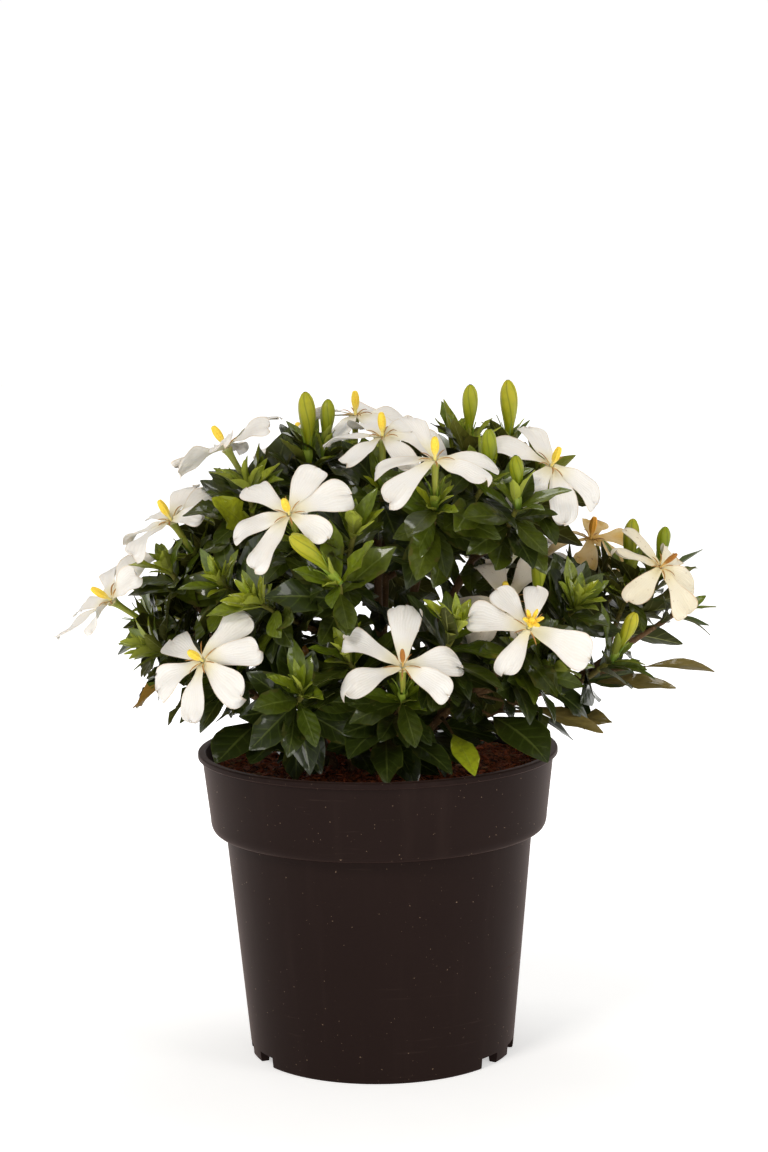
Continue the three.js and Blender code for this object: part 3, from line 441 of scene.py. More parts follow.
class Skin:
    """Grids of points gathered into one mesh: each point has a UV, and each grid a tint and a material."""

    def __init__(self):
        self.points, self.uvs, self.tints, self.faces, self.slots = [], [], [], [], []
        self.count = 0

    def grid(self, points, tint=(0, 0, 0), slot=0, flip=False):
        """A grid of points, rows by columns. U runs along the columns and V along the rows."""
        rows, columns = points.shape[:2]
        v, u = np.meshgrid(np.linspace(0, 1, rows), np.linspace(0, 1, columns), indexing="ij")
        index = np.arange(rows * columns).reshape(rows, columns)
        corners = [index[:-1, :-1], index[:-1, 1:], index[1:, 1:], index[1:, :-1]]
        faces = np.stack([c.ravel() for c in (corners[::-1] if flip else corners)], axis=1)
        self.points.append(points.reshape(-1, 3))
        self.uvs.append(np.stack([u.ravel(), v.ravel()], axis=1))
        self.tints.append(np.tile((*tint, 1.0), (rows * columns, 1)))
        self.faces.append(faces + self.count)
        self.slots.append(np.full(len(faces), slot))
        self.count += rows * columns

    def blade(self, points, normal, depths, tint, under):
        """A thin blade from its middle surface and its depth at each row, thinning to its sides."""
        middle = 1 - np.linspace(-1, 1, points.shape[1]) ** 4
        depth = np.outer(depths, middle)[..., None] * normal
        self.grid(points + depth / 2, tint, 0)
        self.grid(points - depth / 2, tint, under, flip=True)

    def tube(self, line, radii, sides=10, tint=(0, 0, 0), slot=0, squash=1.0, ribs=None):
        """A round body along a line. Ribs are a function of the angle and the row that scales the radius."""
        line = np.asarray(line, float)
        tangents = np.gradient(line, axis=0)
        tangents /= np.linalg.norm(tangents, axis=1)[:, None]
        right, _ = across(tangents[0])
        angles = np.linspace(0, 2 * np.pi, sides + 1)
        rows = []
        for k, (centre, along, radius) in enumerate(zip(line, tangents, radii)):
            right = unit(right - along * right.dot(along))
            above = np.cross(along, right)
            scale = radius * (ribs(angles, k / (len(line) - 1)) if ribs else np.ones_like(angles))
            ring = np.outer(np.cos(angles) * scale, right) + np.outer(np.sin(angles) * scale * squash, above)
            rows.append(centre + ring)
        self.grid(np.array(rows), tint, slot)

    def make(self, name, materials):
        """The mesh object, riding on the plant's one body. Faces that have closed up are left out."""
        points = np.concatenate(self.points) * MM
        faces, slots = np.concatenate(self.faces), np.concatenate(self.slots)
        corners = points[faces]
        apart = np.linalg.norm(corners - np.roll(corners, -1, axis=1), axis=2) > SAME_POINT
        whole = apart.sum(axis=1) > 2
        faces = [face[keep] for face, keep in zip(faces[whole], apart[whole])]
        mesh = new_mesh(name, points.tolist(), [face.tolist() for face in faces])
        uvs = np.concatenate(self.uvs)[np.concatenate(faces)]
        mesh.uv_layers.new(name="UVMap").data.foreach_set("uv", uvs.ravel())
        tint = mesh.attributes.new("tint", "FLOAT_COLOR", "POINT")
        tint.data.foreach_set("color", np.concatenate(self.tints).ravel())
        mesh.polygons.foreach_set("material_index", slots[whole])
        mesh.validate()
        for material in materials:
            mesh.materials.append(MATERIALS[material])
        mesh.shade_smooth()
        made = new_object(name, mesh)
        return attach(made, "root")


# ---------------------------------------------------------------- materials


class Nodes:
    """A material with a Principled shader, and short calls for the nodes that feed it."""

    def __init__(self, name, **settings):
        self.material = bpy.data.materials.new(name)
        self.material.use_nodes = True
        self.tree = self.material.node_tree
        self.shader = self.tree.nodes["Principled BSDF"]
        for socket, value in settings.items():
            self.shader.inputs[socket.replace("_", " ")].default_value = value

    def node(self, kind, inputs=(), **settings):
        made = self.tree.nodes.new("ShaderNode" + kind)
        for key, value in settings.items():
            setattr(made, key, value)
        for socket, value in dict(inputs).items():
            self.feed(made.inputs[socket], value)
        return made

    def feed(self, socket, value):
        if isinstance(value, bpy.types.NodeSocket):
            self.tree.links.new(value, socket)
        else:
            socket.default_value = value

    def math(self, operation, a, b=0.0, c=0.0, clamp=False):
        return self.node("Math", {0: a, 1: b, 2: c}, operation=operation, use_clamp=clamp).outputs[0]

    def times(self, a, b):
        return self.math("MULTIPLY", a, b)

    def line(self, value, slope, start):
        return self.math("MULTIPLY_ADD", value, slope, start)

    def zigzag(self, value):
        """Rises to 0.5 and falls back to 0, over and over."""
        return self.math("PINGPONG", value, 0.5)

    def between(self, value, low, high):
        """Eases from 0 at low to 1 at high."""
        ends = {"Value": value, "From Min": low, "From Max": high}
        return self.node("MapRange", ends, interpolation_type="SMOOTHSTEP").outputs["Result"]

    def mix(self, factor, a, b):
        made = self.node("Mix", {"Factor": factor, 6: a, 7: b}, data_type="RGBA")
        return made.outputs[2]

    def stain(self, color, where, strength, *over):
        """A colour with another over it, where and as strongly as asked."""
        return self.mix(self.times(where, strength), color, rgb(*over))

    def patches(self, scale, detail, low, high):
        """Noise that eases from 0 at low to 1 at high."""
        return self.between(self.noise(scale, detail), low, high)

    def uv(self):
        split = self.node("SeparateXYZ", {0: self.node("TexCoord").outputs["UV"]})
        return split.outputs["X"], split.outputs["Y"]

    def place(self, stretch=(1, 1, 1)):
        """The point on the object, in metres, stretched."""
        spot = self.node("TexCoord").outputs["Object"]
        return self.node("Mapping", {"Vector": spot, "Scale": stretch}).outputs[0]

    def tint(self):
        """What each grid's tint says: its youth, its shade, and its blemish or age."""
        tint = self.node("Attribute", attribute_name="tint").outputs["Color"]
        split = self.node("SeparateColor", {0: tint})
        return split.outputs["Red"], split.outputs["Green"], split.outputs["Blue"]

    def noise(self, scale, detail=3.0, vector=None, roughness=0.5):
        inputs = {"Scale": scale, "Detail": detail, "Roughness": roughness}
        inputs["Vector"] = self.place() if vector is None else vector
        return self.node("TexNoise", inputs).outputs["Fac"]

    def bump(self, height, strength, distance):
        inputs = {"Height": height, "Strength": strength, "Distance": distance}
        return self.node("Bump", inputs).outputs["Normal"]

    def finish(self, color=None, roughness=None, normal=None):
        for socket, value in (("Base Color", color), ("Roughness", roughness), ("Normal", normal)):
            if value is not None:
                self.feed(self.shader.inputs[socket], value)
        return self.material


def rgb(red, green, blue):
    """A colour from its 0 to 255 screen values, as the shader's linear light."""
    def linear(c):
        c /= 255
        return c / 12.92 if c <= 0.04045 else ((c + 0.055) / 1.055) ** 2.4
    return (linear(red), linear(green), linear(blue), 1)


def leaf_veins(n):
    """The midrib and the side veins of a leaf from its UV, and the swell between them."""
    u, v = n.uv()
    aside = n.math("ABSOLUTE", n.line(u, 2.0, -1.0))
    rib_width = n.line(v, -0.07, 0.11)
    midrib = n.math("SUBTRACT", 1.0, n.between(n.math("DIVIDE", aside, rib_width), 0.4, 1.3), clamp=True)
    run = n.line(aside, -1.3, n.times(v, 9.0))
    swell = n.zigzag(run)
    vein = n.math("SUBTRACT", 1.0, n.between(swell, 0.0, 0.11), clamp=True)
    vein = n.times(vein, n.math("SUBTRACT", 1.0, n.between(aside, 0.55, 0.95)))
    return midrib, vein, swell, aside


def leaf_top_material():
    """Glossy dark green above, lime where young, with a paler midrib and sunken side veins."""
    n = Nodes("leaf_top", Specular_IOR_Level=0.2, Coat_Weight=0.85, Coat_Roughness=0.09, Coat_IOR=1.42)
    midrib, vein, swell, aside = leaf_veins(n)
    youth, shade, blemish = n.tint()
    old = n.mix(shade, rgb(30, 40, 7), rgb(74, 84, 14))
    mid = n.mix(shade, rgb(84, 102, 12), rgb(118, 132, 20))
    new = n.mix(shade, rgb(138, 154, 22), rgb(178, 182, 38))
    color = n.mix(n.between(youth, 0.05, 0.5), old, mid)
    color = n.mix(n.between(youth, 0.5, 1.0), color, new)
    mottle = n.noise(420.0, 3.0)
    color = n.stain(color, n.between(mottle, 0.3, 0.75), 0.35, 18, 24, 6)
    color = n.stain(color, vein, 0.14, 104, 124, 50)
    color = n.stain(color, midrib, 0.2, 132, 144, 68)
    color = n.stain(color, n.between(aside, 0.9, 1.0), 0.25, 96, 110, 38)
    patch = n.patches(90.0, 2.0, 0.42, 0.6)
    scorch = n.times(n.between(blemish, 0.05, 0.6), patch)
    color = n.mix(scorch, color, rgb(196, 128, 36))
    worn = n.times(n.between(blemish, 0.0, -1.0), n.line(mottle, -0.4, 1.0))
    color = n.mix(worn, color, rgb(134, 116, 62))
    height = n.math("SUBTRACT", n.times(swell, 0.9), n.times(midrib, 0.5))
    height = n.line(n.noise(150.0, 2.0), 0.4, height)
    rough = n.line(n.noise(260.0, 3.0), 0.14, 0.36)
    rough = n.line(youth, 0.08, rough)
    return n.finish(color, rough, n.bump(height, 0.35, 0.001))


def leaf_under_material():
    """The dull olive underside, with standing veins."""
    n = Nodes("leaf_under", Specular_IOR_Level=0.18)
    midrib, vein, swell, _ = leaf_veins(n)
    youth, shade, blemish = n.tint()
    old = n.mix(shade, rgb(52, 56, 16), rgb(84, 82, 28))
    color = n.mix(n.between(youth, 0.2, 1.0), old, rgb(168, 176, 66))
    color = n.stain(color, vein, 0.25, 140, 144, 84)
    color = n.stain(color, midrib, 0.55, 152, 156, 92)
    color = n.mix(n.math("MULTIPLY", blemish, 0.7, clamp=True), color, rgb(170, 120, 44))
    color = n.mix(n.between(blemish, 0.0, -1.0), color, rgb(130, 112, 66))
    height = n.math("SUBTRACT", n.times(midrib, 0.8), n.times(swell, 0.5))
    return n.finish(color, n.line(n.noise(300.0), 0.2, 0.45), n.bump(height, 0.4, 0.0012))


def petal_material(name, base, shadow, edge, edge_share):
    """Soft cream petals with fine lengthwise veins, warm at the rim and greenish in the claw."""
    n = Nodes(
        name, Specular_IOR_Level=0.3, Subsurface_Weight=0.25, Subsurface_Scale=0.002, Sheen_Weight=0.08,
        Sheen_Roughness=0.5,
    )
    n.shader.inputs["Subsurface Radius"].default_value = (1.0, 0.8, 0.6)
    u, v = n.uv()
    aside = n.math("ABSOLUTE", n.line(u, 2.0, -1.0))
    wander = n.line(n.noise(160.0, 2.0), 0.16, u)
    ridge = n.zigzag(n.times(wander, 11.0))
    color = n.mix(n.times(n.between(ridge, 0.4, 0.0), 0.16), base, shadow)
    color = n.mix(n.times(n.patches(70.0, 4.0, 0.45, 0.75), 0.22), color, shadow)
    rim = n.math("MAXIMUM", n.between(aside, 0.9, 1.0), n.between(v, 0.95, 1.0))
    color = n.mix(n.times(rim, edge_share), color, edge)
    color = n.stain(color, n.between(v, 0.3, 0.02), 0.5, 226, 214, 140)
    _, _, age = n.tint()
    color = n.stain(color, age, 0.14, 236, 208, 150)
    blotch = n.line(n.patches(60.0, 3.0, 0.35, 0.7), 0.35, 0.6)
    color = n.stain(color, n.between(age, 1.0, 2.0), blotch, 206, 160, 58)
    spots = n.times(n.patches(500.0, 2.0, 0.66, 0.74), n.line(age, 0.5, 0.08))
    color = n.mix(spots, color, rgb(170, 130, 80))
    height = n.math("ADD", ridge, n.times(n.noise(95.0, 4.0), 4.0))
    return n.finish(color, n.line(n.noise(200.0), 0.2, 0.42), n.bump(height, 0.22, 0.0008))


def tube_material():
    """The corolla tube: cream at the throat, yellow-green below."""
    n = Nodes("corolla_tube", Roughness=0.5, Subsurface_Weight=0.15, Subsurface_Scale=0.002)
    u, v = n.uv()
    color = n.mix(n.between(v, 0.35, 0.95), rgb(160, 164, 62), rgb(236, 226, 188))
    _, _, age = n.tint()
    color = n.mix(age, color, n.mix(v, rgb(150, 100, 24), rgb(226, 176, 96)))
    lines = n.zigzag(n.times(u, 6.0))
    color = n.stain(color, n.between(lines, 0.3, 0.5), 0.3, 120, 130, 44)
    return n.finish(color, None, n.bump(lines, 0.5, 0.0005))


def pistil_material(name, low, high, dark):
    """A ribbed stigma, powdered with pollen."""
    n = Nodes(name, Specular_IOR_Level=0.25, Subsurface_Weight=0.1, Subsurface_Scale=0.001)
    _, v = n.uv()
    color = n.mix(n.between(v, 0.1, 0.55), low, high)
    grain = n.noise(1400.0, 3.0)
    color = n.mix(n.times(n.between(grain, 0.45, 0.75), 0.6), color, dark)
    return n.finish(color, n.line(grain, 0.2, 0.55), n.bump(grain, 0.6, 0.0004))


def stamen_material():
    """Anthers, cream at their foot and brown at their tip."""
    n = Nodes("stamen", Specular_IOR_Level=0.25)
    _, v = n.uv()
    color = n.mix(n.between(v, 0.05, 0.4), rgb(232, 196, 112), rgb(176, 128, 68))
    grain = n.noise(1200.0, 3.0)
    color = n.stain(color, n.between(grain, 0.5, 0.7), 0.5, 124, 80, 38)
    return n.finish(color, 0.6, n.bump(grain, 0.5, 0.0003))


def bud_material():
    """Lime green petals wound in a point, darker in their seams and paler near the top."""
    n = Nodes("bud", Specular_IOR_Level=0.22, Subsurface_Weight=0.12, Subsurface_Scale=0.002)
    u, v = n.uv()
    _, shade, _ = n.tint()
    wound = n.line(v, 1.3, n.times(u, 6.0))
    seam = n.zigzag(wound)
    green = n.mix(shade, rgb(96, 116, 16), rgb(146, 150, 24))
    color = n.mix(n.between(v, 0.3, 0.95), green, n.mix(shade, rgb(128, 142, 22), rgb(188, 178, 44)))
    color = n.stain(color, n.between(seam, 0.14, 0.0), 0.55, 84, 100, 20)
    color = n.stain(color, n.patches(240.0, 3.0, 0.4, 0.7), 0.25, 112, 126, 26)
    return n.finish(color, n.line(n.noise(200.0), 0.2, 0.28), n.bump(seam, 0.4, 0.0008))


def calyx_material():
    """Calyxes and sepals: fresh green, paler to their tips."""
    n = Nodes("calyx", Specular_IOR_Level=0.4)
    _, v = n.uv()
    _, shade, _ = n.tint()
    green = n.mix(shade, rgb(80, 112, 30), rgb(120, 146, 40))
    color = n.mix(n.between(v, 0.0, 1.0), green, rgb(150, 168, 60))
    color = n.stain(color, n.patches(300.0, 3.0, 0.4, 0.7), 0.3, 70, 92, 24)
    return n.finish(color, 0.38, n.bump(n.noise(500.0), 0.3, 0.0005))


def bark_material():
    """Twigs from green at their tips to grey-brown bark, with pale flecks and rings."""
    n = Nodes("bark", Specular_IOR_Level=0.25)
    youth, _, _ = n.tint()
    grain = n.noise(1.0, 5.0, n.place((260.0, 260.0, 70.0)), 0.65)
    brown = n.mix(grain, rgb(54, 38, 20), rgb(116, 84, 50))
    green = n.mix(grain, rgb(86, 84, 30), rgb(128, 128, 52))
    color = n.mix(n.between(youth, 0.25, 0.9), brown, green)
    fleck = n.patches(900.0, 2.0, 0.62, 0.7)
    color = n.stain(color, fleck, 0.45, 160, 134, 98)
    height = n.line(grain, 1.0, n.times(n.noise(600.0, 4.0), 0.6))
    return n.finish(color, n.line(grain, 0.25, 0.55), n.bump(height, 0.7, 0.0009))


def pot_material():
    """Black-brown injection-moulded plastic: satin, with dust, faint scuffs and water marks."""
    n = Nodes("pot_plastic", Specular_IOR_Level=0.04, Sheen_Weight=0.16, Sheen_Roughness=0.35)
    n.shader.inputs["Sheen Tint"].default_value = rgb(222, 168, 150)
    cloud = n.noise(9.0, 5.0, None, 0.6)
    color = n.mix(cloud, rgb(30, 20, 18), rgb(38, 27, 24))
    run = n.noise(1.0, 4.0, n.place((60.0, 60.0, 5.0)), 0.6)
    color = n.stain(color, n.between(run, 0.5, 0.8), 0.18, 58, 45, 40)
    dust = n.times(n.patches(700.0, 2.0, 0.735, 0.77), 0.75)
    color = n.mix(dust, color, rgb(150, 126, 104))
    scuff = n.noise(1.0, 3.0, n.place((24.0, 24.0, 420.0)), 0.7)
    scuffed = n.times(n.between(scuff, 0.62, 0.72), n.patches(14.0, 2.0, 0.52, 0.64))
    color = n.stain(color, scuffed, 0.14, 90, 74, 66)
    rough = n.line(cloud, 0.16, 0.4)
    rough = n.line(scuffed, 0.15, rough)
    fine = n.noise(1100.0, 3.0)
    height = n.line(fine, 0.3, n.times(run, 0.5))
    return n.finish(color, rough, n.bump(height, 0.18, 0.0004))


def soil_material():
    """Moist red-brown coir compost."""
    n = Nodes("compost", Specular_IOR_Level=0.2)
    grain = n.noise(380.0, 6.0, None, 0.7)
    color = n.mix(n.between(grain, 0.35, 0.65), rgb(60, 30, 17), rgb(196, 106, 60))
    color = n.mix(n.patches(900.0, 2.0, 0.64, 0.7), color, rgb(140, 92, 62))
    return n.finish(color, 0.85, n.bump(grain, 1.0, 0.003))


def chip_material():
    """Bark and coir chips, each its own brown."""
    n = Nodes("bark_chips", Specular_IOR_Level=0.25)
    _, shade, blemish = n.tint()
    color = n.mix(shade, rgb(84, 38, 22), rgb(204, 104, 60))
    color = n.mix(blemish, color, rgb(160, 122, 84))
    fibre = n.noise(1.0, 4.0, n.place((500.0, 120.0, 300.0)), 0.7)
    color = n.stain(color, fibre, 0.45, 26, 14, 9)
    return n.finish(color, 0.75, n.bump(fibre, 0.8, 0.001))


def floor_material():
    """White, and dim only by the pot: further out it glows as a lit studio floor does."""
    n = Nodes("floor", Specular_IOR_Level=0.1, Roughness=0.8)
    n.shader.inputs["Base Color"].default_value = (0.9, 0.9, 0.9, 1)
    n.shader.inputs["Emission Color"].default_value = (1.0, 0.995, 0.985, 1)
    away = n.node("VectorMath", {0: n.place()}, operation="LENGTH").outputs["Value"]
    dim, bright = FLOOR["glow"]
    glow = n.line(n.between(away, FLOOR["near"], FLOOR["far"]), bright - dim, dim)
    # A faint noise in the floor's painted glow.
    uneven_glow = n.line(n.noise(40.0, 2.0), 0.02, glow)
    n.feed(n.shader.inputs["Emission Strength"], uneven_glow)
    return n.material


MATERIALS = dict(
    leaf_top=leaf_top_material(),
    leaf_under=leaf_under_material(),
    petal=petal_material("petal", rgb(246, 240, 231), rgb(230, 217, 201), rgb(226, 194, 146), 0.45),
    aged_petal=petal_material("aged_petal", rgb(248, 237, 212), rgb(236, 214, 172), rgb(206, 156, 88), 0.7),
    tube=tube_material(),
    pistil=pistil_material("pistil", rgb(244, 234, 150), rgb(252, 218, 76), rgb(232, 182, 52)),
    aged_pistil=pistil_material("aged_pistil", rgb(246, 200, 110), rgb(246, 176, 66), rgb(216, 136, 40)),
    faded_pistil=pistil_material("faded_pistil", rgb(226, 190, 110), rgb(176, 116, 48), rgb(120, 70, 28)),
    stamen=stamen_material(),
    bud=bud_material(),
    calyx=calyx_material(),
    bark=bark_material(),
    pot=pot_material(),
    soil=soil_material(),
    chips=chip_material(),
    floor=floor_material(),
)


# ---------------------------------------------------------------- the plant's own rules
def stem_path(foot, crown):
    """A stem's line: straight up out of the compost, then out to its crown."""
    start = point((*foot, SOIL["level"] + SOIL["mound"] + STEM["straight"]))
    end = point(crown)
    over = point((start[0], start[1], end[2]))
    rise = end[2] - start[2]
    handles = [
        start,
        start + (over - start) * STEM["upright_share"],
        end + (over - end) * STEM["inward_share"] - UP * STEM["under_share"] * rise,
        end,
    ]
    return Path(handles, STEM["steps"])


def twig_path(shoot, index, trunk):
    """A twig's line, from its fork on the stem to the foot of its bloom, bud or tip."""
    fork = min(shoot["fork"], 1 - TWIG["fork_step"] * index)
    place, aim = pose(shoot)
    reach = BLOOM["tube"] + BLOOM["gap"] + BLOOM["calyx"] if shoot["kind"] == "bloom" else 0
    start = trunk.at(fork)
    end = place - aim * reach
    span = np.linalg.norm(end - start)
    leaving = unit(unit(end - start) + trunk.heading(fork) * TWIG["lean"])
    handles = [start, start + leaving * TWIG["start_share"] * span, end - aim * TWIG["end_share"] * span, end]
    return Path(handles, TWIG["steps"])


def whorl_leaf(twig, t, spin, lean, length, width, youth):
    """A leaf on a twig, or on the line past its end, at a turn about it and leaning out from it."""
    axis = twig.heading(t)
    root = twig.at(t) if t <= 1 else twig.end + axis * (t - 1) * twig.length
    along = axis * cos(lean) + spun(axis, spin) * sin(lean)
    normal = unit(axis - along * axis.dot(along))
    return dict(root=root, along=along, normal=normal, length=length, width=width, youth=youth)


def bent_ways(twig, t, spin, lean, size, youth):
    """The ways that a leaf on a twig may be bent clear of others, of which the first isn't bent."""
    length, width = size
    return [
        whorl_leaf(twig, t, spin + turn, lean + tilt, length * scale, width * scale, youth)
        for turn, tilt, scale in BENDS
    ]


def whorled(whorls, twig, rule, draw):
    """The leaves of whorls down a twig, each as the ways that it may be bent."""
    for count, back, lean_out, length, width, youth in whorls:
        first = 360 * draw()
        for k in range(count):
            spin = first + 360 * k / count + vary(draw, rule["turn_span"])
            lean = lean_out + vary(draw, rule["lean_span"])
            size = 1 + vary(draw, rule["size_span"])
            t = 1 - (back + rule["spacing"] * k) / twig.length
            if t >= rule["first_share"]:
                yield bent_ways(twig, t, spin, lean, (length * size, width * size), youth)


def solid_low_leaves(trunk, draw):
    """Each low leaf of a stem's solid, as the ways that it may be bent."""
    out = trunk.end - trunk.start * 0.5
    outward = math.degrees(math.atan2(out[0], -out[1]))
    found = []
    for fork, aside, length, width in LOW_LEAVES:
        turn = outward + aside + vary(draw, LEAF["turn_span"])
        rise = LEAF["low_rise"] - LEAF["low_droop"] * draw()
        size = 1 + vary(draw, LEAF["size_span"])
        ways = []
        for swing, tilt, scale in BENDS:
            along = facing(turn + swing, rise - tilt)
            ways.append(dict(
                root=trunk.at(fork), along=along, normal=upright(along), youth=0.0,
                length=length * size * scale, width=width * size * scale,
            ))
        found.append(ways)
    return found


def solid_lone_leaf(leaf, trunk):
    """A leaf that stands alone in the solid, as the ways that it may be bent."""
    fork, end, width = leaf
    root = trunk.at(fork)
    reach = point(end) - root
    length = np.linalg.norm(reach)
    reach = reach / length
    aim = unit(reach + upright(reach) * LEAF["arch"])
    ways = []
    for turn, tilt, scale in BENDS:
        along = turned(aim, UP, turn)
        along = turned(along, across(aim)[0], tilt)
        ways.append(dict(
            root=root, along=along, normal=shown(along), youth=0.05, lone=True,
            length=length * scale, width=width * scale,
        ))
    return ways


def shown(along, roll=LEAF["lone_roll"]):
    """The upper side of a leaf that hangs alone, which is turned a little to the front."""
    face = upright(along) - point((0, 1, 0)) * math.tan(math.radians(roll))
    return unit(face - along * along.dot(face))


def on_stalk(leaf):
    """A lone leaf with its blade at the far end of its solid, on a thin stalk, turned to show its face."""
    blade = min(LONGEST_LEAF, BLADE_SLIMNESS * leaf["width"], leaf["length"])
    share = 1 - blade / leaf["length"]
    steps = np.linspace(0, share, 7)[:, None] * leaf["length"]
    sag = LEAF["arch"] * steps**2 / leaf["length"]
    leaf["stalk"] = leaf["root"] + steps * leaf["along"] - sag * leaf["normal"]
    end = leaf_tip(leaf)
    reach = end - leaf["stalk"][-1]
    length = np.linalg.norm(reach)
    leaf["root"], leaf["length"] = leaf["stalk"][-1], length
    leaf["along"] = unit(reach / length + leaf["normal"] * LEAF["arch"])
    leaf["normal"] = shown(leaf["along"])


def leaf_share(t):
    """How much of its half width a leaf has at a share of its length."""
    t = np.clip(t, 0, 1)
    return np.maximum(0, np.sin(np.pi * t ** LEAF["broad_end"])) ** LEAF["fullness"]


def leaf_tip(leaf):
    return leaf["root"] + leaf["along"] * leaf["length"] - leaf["normal"] * leaf["length"] * LEAF["arch"]


def corner_tree(node):
    """The corners of a solid, to look its leaves up in."""
    corners = [v.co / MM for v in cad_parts[node].data.vertices]
    tree = KDTree(len(corners))
    for i, corner in enumerate(corners):
        tree.insert(corner, i)
    tree.balance()
    return tree


def as_built(ways, tree, tolerance=0.1):
    """The way that a leaf was bent in the solid, which has both corners of its tip, or none."""
    for leaf in ways:
        half = leaf["normal"] * LEAF["thickness"] / 2
        if all(tree.find(leaf_tip(leaf) + side)[2] < tolerance for side in (half, -half)):
            return leaf
    return None


# ---------------------------------------------------------------- leaves
def leaf_points(leaf, draw, rows, columns):
    """A leaf's middle surface: folded along its midrib, arched, and a little waved and swung."""
    t = (1 - np.cos(np.linspace(0, np.pi, rows))) / 2
    u = np.linspace(-1, 1, columns)
    half = leaf["width"] / 2 * leaf_share(t) * (1 - 0.25 * smooth((t - 0.7) / 0.3))
    half = np.maximum(half, 0.5 * (1 - t))
    side = unit(np.cross(leaf["along"], leaf["normal"]))
    wave, phase = vary(draw, LEAF_PLAY["wave"]), 2 * np.pi * draw()
    swing, curl = vary(draw, LEAF_PLAY["swing"]), vary(draw, LEAF_PLAY["curl"])
    tt, uu = np.meshgrid(t, u, indexing="ij")
    halves = half[:, None]
    fold = LEAF["fold"] + 0.4 * max(0, leaf["youth"] - 0.3)
    lift = fold * halves * np.abs(uu) ** 1.2
    lift += halves * wave * uu**2 * np.sin(2 * np.pi * 2.2 * tt + phase + np.sign(uu))
    lift += -leaf["length"] * (LEAF["arch"] * tt**2 + curl * tt**4 * 0.5)
    aside = halves * uu + swing * leaf["length"] * tt**2 * (1 - 0.5 * tt)
    along = (leaf["length"] * tt)[..., None] * leaf["along"]
    return leaf["root"] + along + aside[..., None] * side + lift[..., None] * leaf["normal"]


def leaf_tint(leaf, draw):
    """A leaf's youth, shade and blemish. Low leaves are older, and darker with painted shade."""
    height, depth = LOW_SHADE
    low = float(np.clip((height - leaf["root"][2]) / depth, 0, 1))
    youth = float(np.clip(leaf["youth"] * (1 - 0.3 * low) + vary(draw, 0.16), 0, 1))
    # Painted shade: low leaves are darkened by their height, as the crown shades them near the compost.
    shade, blemish = draw() * (1 - 0.85 * low), 0.0
    if "special" in leaf:
        youth, given, blemish = SPECIAL_LOOKS[leaf["special"]]
        shade = shade if given is None else given
    return (youth, shade, blemish)


def skin_tree(meshes):
    """The faces of meshes, to look up how near a point is to them."""
    corners, faces = [], []
    for mesh in meshes:
        faces += [[i + len(corners) for i in f.vertices] for f in mesh.polygons]
        corners += [v.co for v in mesh.vertices]
    return BVHTree.FromPolygons(corners, faces)


class Room:
    """What finer leaves keep clear of: blooms with the air over them, the pot, the soil and other leaves."""

    def __init__(self, blooms):
        self.blooms = [(*pose(b), b.get("size", 1)) for b in blooms]
        hard = [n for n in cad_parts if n.startswith(("bloom_", "pistil_")) or n == "pot"]
        self.hard = skin_tree([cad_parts[n].data for n in hard])
        self.taken = []
        self.tree = None

    def in_air(self, p):
        """Whether a point is in the cone over a bloom, or in the disc about its petals."""
        for throat, axis, size in self.blooms:
            offset = p - throat
            height = offset.dot(axis)
            radius = np.linalg.norm(offset - axis * height)
            (low, narrow), (high, broad) = AIR
            if low < height < high and radius < narrow + (broad - narrow) * (height - low) / (high - low):
                return True
            below, above, share = PETAL_AIR
            if below <= height < above and radius < PETAL["length"] * size * share:
                return True
        return False

    def samples(self, leaf):
        """Points of a leaf without waves, in rows of three from near its foot to its tip."""
        points = leaf_points(leaf, lambda: 0.5, 7, 3)
        return points[1:].reshape(-1, 3)

    def take(self, leaf):
        """Keeps the middle of each row of a leaf, for later ones to stay away from."""
        self.taken.extend(self.samples(leaf)[1::3])

    def settle(self):
        """Makes the leaves so far ready to be looked up."""
        self.tree = KDTree(max(1, len(self.taken)))
        for i, p in enumerate(self.taken):
            self.tree.insert(p, i)
        self.tree.balance()

    def has(self, leaf, apart):
        """Whether a leaf has room, apart from other leaves by so much."""
        points = self.samples(leaf)
        radius, height, slope, inside = SKIRT
        out = np.hypot(points[:, 0], points[:, 1])
        floor = height + slope * np.maximum(0, out - radius)
        low = np.where(out < inside, SOIL["level"] + CLEAR["soil"], floor)
        if (points[:, 2] < low).any() or any(self.in_air(p) for p in points):
            return False
        for p in points:
            if self.hard.find_nearest(Vector(p * MM), CLEAR["hard"] * MM)[0] is not None:
                return False
        past_foot = points[7::3]  # the middle of each row but the first two
        return all(self.tree.find(p)[2] > apart for p in past_foot)

    def fill(self, stem, wanted, apart, at_once=False):
        """Gives a stem those leaves that can be bent to have room, ready to be looked up at once or later."""
        for ways in wanted:
            leaf = next((leaf for leaf in ways if self.has(leaf, apart(leaf))), None)
            if leaf:
                stem["leaves"].append(leaf)
                self.take(leaf)
                if at_once:
                    self.settle()


def inner_ways(paths, draw, tries):
    """Older leaves along a stem and its twigs, which fill the crown's inside, as whorled gives them."""
    rule = INNER_LEAF
    for _ in range(tries):
        path = paths[int(draw() * len(paths))]
        t, lean = drawn(draw, rule["share"]), drawn(draw, rule["lean"])
        spin, size = 360 * draw(), drawn(draw, rule["size"])
        yield bent_ways(path, t, spin, lean, (rule["length"] * size, rule["width"] * size), rule["youth"])


